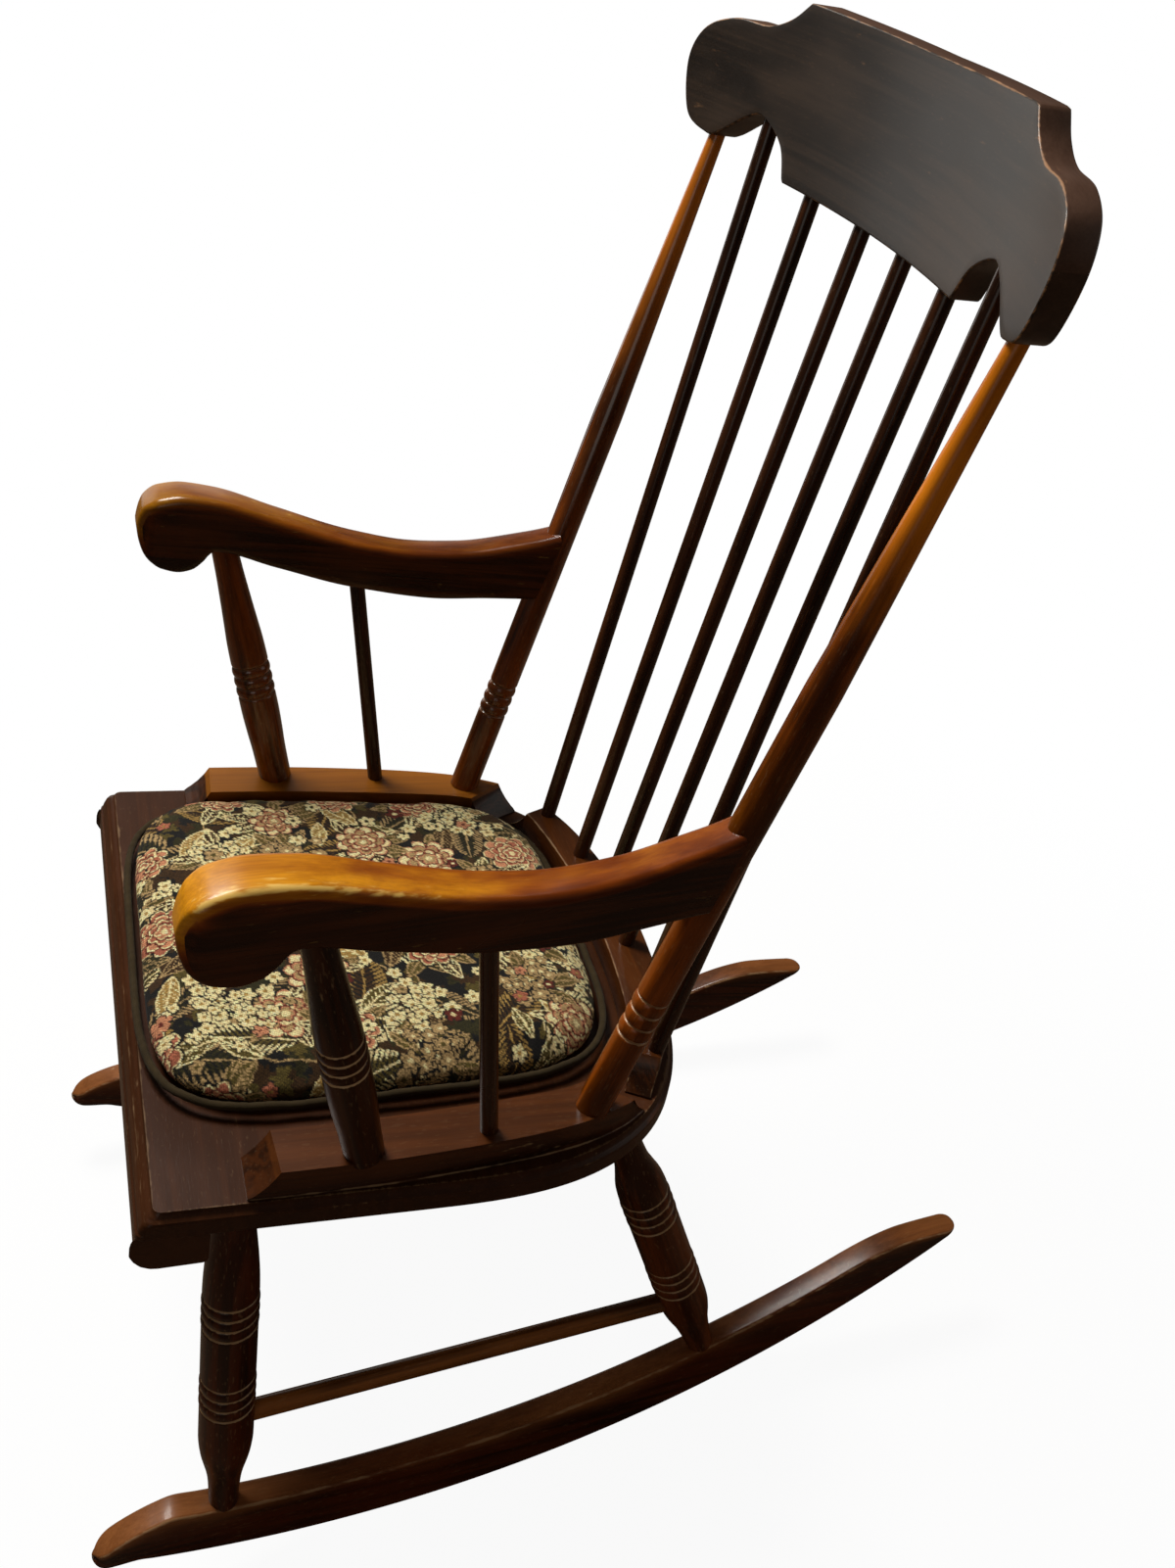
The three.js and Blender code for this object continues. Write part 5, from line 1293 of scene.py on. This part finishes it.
class CHAIR_OT_seat_pad(bpy.types.Operator):
    """Make the stuffed seat pad, fill it, and weave its tapestry"""

    bl_idname = "chair.seat_pad"
    bl_label = "Seat pad"

    def execute(self, context):
        pad = context.scene.chair_pad
        thick = pad.thickness * MM - PAD_COVER
        layers = [(0, 0.2), (0, 0.6), (0, 0.87), (0.04, 0.93), (0.12, 0.965), (0.22, 0.985), (0.33, 0.992),
                  (0.46, 0.99), (0.6, 0.986), (0.74, 0.968), (0.86, 0.925), (0.94, 0.84), (0.98, 0.68), (1, 0.4)]
        flat = pad_ring(even_angles(200), PAD_COVER)
        flat[:, 0] *= np.where(flat[:, 0] < 0, 1.03, 1)
        full = thick * (1 - 0.09 * flat[:, 0] / PAD_HALF[0])
        rings = [pad_place(flat * size, PAD_FLOOR + up * full) for up, size in layers]
        bottom, top = (pad_place(flat * 0, PAD_FLOOR + up) for up in (0, thick))
        mesh = build_mesh("seat_pad_dressed", np.stack([bottom, *rings, top]))
        tapestry_cloth = cloth("tapestry", painted="tapestry")
        piece = add_piece("seat_pad_dressed", mesh, tapestry_cloth, "pad_cloth", sharp=180)
        even_out(piece, PAD_CELL)
        fill_pad(piece, pad.pressure, pad.swell)
        finer = piece.modifiers.new("Finer", "SUBSURF")
        finer.levels = finer.render_levels = 2
        apply_modifiers(piece)
        piece.data.polygons.foreach_set("use_smooth", np.ones(len(piece.data.polygons), bool))
        self.paint(piece.data, pad)
        return {"FINISHED"}

    def paint(self, mesh, pad):
        """Lays the woven pattern on the pad from above, with a plain dark underside."""
        places = to_seat(read_places(mesh))
        x, y, z = places[:, 0] - PAD_CENTRE[0], places[:, 1] - PAD_CENTRE[1], places[:, 2]
        pitch = pad.knot * MM
        colours = {"ground": pad.ground, "cream": pad.cream, "salmon": pad.salmon, "moss": (0.030, 0.026, 0.008),
                   "bark": (0.046, 0.022, 0.007), "olive": (0.096, 0.070, 0.016), "beige": (0.42, 0.28, 0.12),
                   "gold": (0.36, 0.22, 0.06), "rose": (0.38, 0.12, 0.065), "burgundy": (0.12, 0.020, 0.012)}
        picture = tapestry(CLOTH_WIDTH, pitch, {name: np.array(colour) for name, colour in colours.items()})
        reach = 1 + np.clip(PAD_SEAM + 6 - z, 0, 30) / PAD_ROUND
        row, col = (np.clip(((v * reach + CLOTH_WIDTH / 2) / pitch).astype(int), 0, len(picture) - 1) for v in (y, x))
        shown = np.where((z < PAD_FLOOR + 2)[:, None], 0.02, picture[row, col])
        add_layer(mesh, "tapestry", np.column_stack([shown, np.ones(len(shown))]), "COLOR")
        add_layer(mesh, "weave", np.stack([x, y, z], -1))


class CHAIR_OT_pad_piping(bpy.types.Operator):
    """Make the corded seam round the pad"""

    bl_idname = "chair.pad_piping"
    bl_label = "Pad piping"

    def execute(self, context):
        turn = np.linspace(0, 2 * math.pi, 16, endpoint=False)
        waves = lambda count, place: place * 2 * math.pi * count / PIPING_POINTS
        along = np.arange(PIPING_POINTS)
        wave = 0.35 * np.sin(waves(23, along)) + 0.25 * np.sin(waves(41, along) + 1)
        outer = pad_ring(even_angles(PIPING_POINTS), PIPING_INSET)
        ahead = np.roll(outer, -1, 0) - np.roll(outer, 1, 0)
        out = np.stack([ahead[:, 1], -ahead[:, 0]], -1) / np.linalg.norm(ahead, axis=1)[:, None]
        twist = 1 + 0.05 * np.sin(waves(140, along[:, None]) + turn[None])
        away = PIPING_RADIUS * twist * np.cos(turn)[None] - PIPING_RADIUS
        flat = outer[:, None] + out[:, None] * away[..., None]
        z = PAD_FLOOR + PAD_SEAM + wave[:, None] + PIPING_RADIUS * twist * np.sin(turn)[None]
        mesh = build_mesh("pad_piping", pad_place(flat, z), wrap_rows=True)
        cotton = cloth("corded cotton", colour=tuple(context.scene.chair_pad.piping), pitch=0.8, contrast=0.45)
        add_piece("pad_piping_dressed", mesh, cotton, "piping_cloth", ["seat_pad_piping"], sharp=180)
        seat = to_seat(read_places(mesh))
        around = np.arctan2(seat[:, 1] - PAD_CENTRE[1], seat[:, 0] - PAD_CENTRE[0])
        add_layer(mesh, "weave", np.stack([seat[:, 2], around * PAD_ROUND, seat[:, 0] * 0.2], -1))
        return {"FINISHED"}


# ---------------------------------------------------------------- stage

PHOTO_HEIGHT = 1601
PHOTO_MIDDLE = (600, 800.5)
PHOTO_FOCAL = 1707.68
PHOTO_AXIS = (638.31, 668.36)
PHOTO_EYE = np.array([1069.7, -95.7, 889.7])
PHOTO_AHEAD = np.array([-0.8167, 0.3488, -0.4598])
PHOTO_RIGHT = np.array([0.3011, 0.9372, 0.1763])
SENSOR = 36.0
FLOOR_HALF, FLOOR_DROP = 30, 0.0005
WHITE = (1, 1, 1, 1)
WARM_LAMP = (1, 0.97, 0.92)
# For each lamp: where it is, what it aims at, its two sides, its watts and its colour.
LAMPS = {
    "overhead": ((-0.95, -0.45, 2.55), (0, 0, 0.5), (0.8, 0.8), 62, WARM_LAMP),
    "left window": ((-3.0, -0.35, 1.05), (0, 0.2, 0.95), (2.4, 1.5), 12, WARM_LAMP),
    "back fill": ((0.5, 3.2, 1.3), (0, 0.2, 0.7), (2.0, 2.0), 8, WARM_LAMP),
    "camera side": ((2.2, -1.2, 1.3), (0, 0, 0.5), (1.2, 1.2), 3.5, (1, 0.93, 0.84)),
}


class CHAIR_OT_stage(bpy.types.Operator):
    """Set the pale floor, the soft studio light and the photograph's camera"""

    bl_idname = "chair.stage"
    bl_label = "Stage and camera"

    def execute(self, context):
        scene = context.scene
        scene.view_settings.view_transform = "Standard"
        mesh = bpy.data.meshes.new("floor")
        corners = [(x * FLOOR_HALF, y * FLOOR_HALF, 0) for x, y in ((-1, -1), (1, -1), (1, 1), (-1, 1))]
        mesh.from_pydata(corners, [], [range(4)])
        mesh.materials.append(self.floor_finish())
        floor = bpy.data.objects.new("floor", mesh)
        scene.collection.objects.link(floor)
        floor.location.z = -FLOOR_DROP
        self.lights(scene)
        self.world(scene)
        self.camera(scene)
        return {"FINISHED"}

    def floor_finish(self):
        """A matt floor that the camera sees as white, with the chair's shadow; other rays meet a warm brown."""
        material, tree, shader = new_material("pale_floor")
        tree.nodes.remove(shader)
        camera_ray = put(tree, "ShaderNodeLightPath").outputs["Is Camera Ray"]
        seen = blend_colours(tree, camera_ray, (0.16, 0.115, 0.08, 1), WHITE)
        diffuse = put(tree, "ShaderNodeBsdfDiffuse", {"Color": seen}).outputs[0]
        white = put(tree, "ShaderNodeEmission", {"Color": WHITE, "Strength": 1.0}).outputs[0]
        place = put(tree, "ShaderNodeTexCoord").outputs["Object"]
        away = put(tree, "ShaderNodeVectorMath", {0: place}, operation="LENGTH").outputs["Value"]
        plain = between(tree, away, 0.45, 1.1, **{"To Min": 0.94, "To Max": 1.0})
        share = maths(tree, "MULTIPLY", camera_ray, plain)
        mixed = put(tree, "ShaderNodeMixShader", {0: share, 1: diffuse, 2: white}).outputs[0]
        wire(tree, tree.nodes["Material Output"], {"Surface": mixed})
        return material

    def lights(self, scene):
        """A lamp overhead, a broad one at the left, and two weak ones by the camera and behind."""
        for name, (place, aim, size, watts, colour) in LAMPS.items():
            data = bpy.data.lights.new(name, "AREA")
            data.shape, data.size, data.size_y = "RECTANGLE", *size
            data.energy, data.color = watts, colour
            lamp = bpy.data.objects.new(name, data)
            scene.collection.objects.link(lamp)
            lamp.location = place
            lamp.rotation_euler = (Vector(aim) - Vector(place)).to_track_quat("-Z", "Y").to_euler()

    def world(self, scene):
        """A dim warm world that the camera sees as white."""
        scene.world = bpy.data.worlds.new("studio")
        scene.world.use_nodes = True
        tree = scene.world.node_tree
        camera_ray = put(tree, "ShaderNodeLightPath").outputs["Is Camera Ray"]
        wire(tree, tree.nodes["Background"], {
            "Color": blend_colours(tree, camera_ray, (1, 0.88, 0.74, 1), WHITE),
            "Strength": maths(tree, "MULTIPLY_ADD", camera_ray, 0.93, 0.07)})

    def camera(self, scene):
        """The photograph's viewpoint, in the seat frame: its place, and the directions of its view."""
        eye, ahead, right = to_row(np.stack([PHOTO_EYE, PHOTO_EYE + PHOTO_AHEAD * MM, PHOTO_EYE + PHOTO_RIGHT * MM]))
        forward, across = ahead - eye, right - eye
        forward /= np.linalg.norm(forward)
        across -= forward * across.dot(forward)
        across /= np.linalg.norm(across)
        up = np.cross(across, forward)
        data = bpy.data.cameras.new("photograph")
        data.sensor_fit, data.sensor_height, data.sensor_width = "VERTICAL", SENSOR, SENSOR
        data.lens = PHOTO_FOCAL / PHOTO_HEIGHT * SENSOR
        data.shift_x = (PHOTO_MIDDLE[0] - PHOTO_AXIS[0]) / PHOTO_HEIGHT
        data.shift_y = (PHOTO_AXIS[1] - PHOTO_MIDDLE[1]) / PHOTO_HEIGHT
        data.clip_start = 0.05
        camera = bpy.data.objects.new("photograph", data)
        scene.collection.objects.link(camera)
        rows = [[across[k], up[k], -forward[k], eye[k]] for k in range(3)]
        camera.matrix_world = Matrix(rows + [[0, 0, 0, 1]])
        scene.camera = camera


PIECES = (CHAIR_OT_stage, CHAIR_OT_seat_board, CHAIR_OT_seat_rails, CHAIR_OT_crest_rail, CHAIR_OT_back_posts,
          CHAIR_OT_back_spindles, CHAIR_OT_arms, CHAIR_OT_arm_supports, CHAIR_OT_legs, CHAIR_OT_rockers,
          CHAIR_OT_seat_pad, CHAIR_OT_pad_piping)


class CHAIR_PT_panel(bpy.types.Panel):
    """The chair's settings and pieces"""

    bl_idname = "CHAIR_PT_panel"
    bl_label = "Rocking Chair"
    bl_space_type = "VIEW_3D"
    bl_region_type = "UI"
    bl_category = "Rocking Chair"

    def draw(self, context):
        for settings in (context.scene.chair_finish, context.scene.chair_pad):
            column = self.layout.column(align=True)
            for key in settings.__annotations__:
                column.prop(settings, key)
        column = self.layout.column(align=True)
        for piece in PIECES:
            column.operator(piece.bl_idname)


CLASSES = (ChairFinishSettings, ChairPadSettings, *PIECES, CHAIR_PT_panel)


def register():
    """Adds the chair's settings, operators and panel."""
    for made in CLASSES:
        bpy.utils.register_class(made)
    bpy.types.Scene.chair_finish = bpy.props.PointerProperty(type=ChairFinishSettings)
    bpy.types.Scene.chair_pad = bpy.props.PointerProperty(type=ChairPadSettings)


def unregister():
    """Takes them away again."""
    del bpy.types.Scene.chair_finish
    del bpy.types.Scene.chair_pad
    for made in reversed(CLASSES):
        bpy.utils.unregister_class(made)


def main():
    """Makes every piece in order."""
    register()
    bpy.ops.chair.stage()
    bpy.ops.chair.seat_board()
    bpy.ops.chair.seat_rails()
    bpy.ops.chair.crest_rail()
    bpy.ops.chair.back_posts()
    bpy.ops.chair.back_spindles()
    bpy.ops.chair.arms()
    bpy.ops.chair.arm_supports()
    bpy.ops.chair.legs()
    bpy.ops.chair.rockers()
    bpy.ops.chair.seat_pad()
    bpy.ops.chair.pad_piping()


if __name__ == "__main__":
    main()
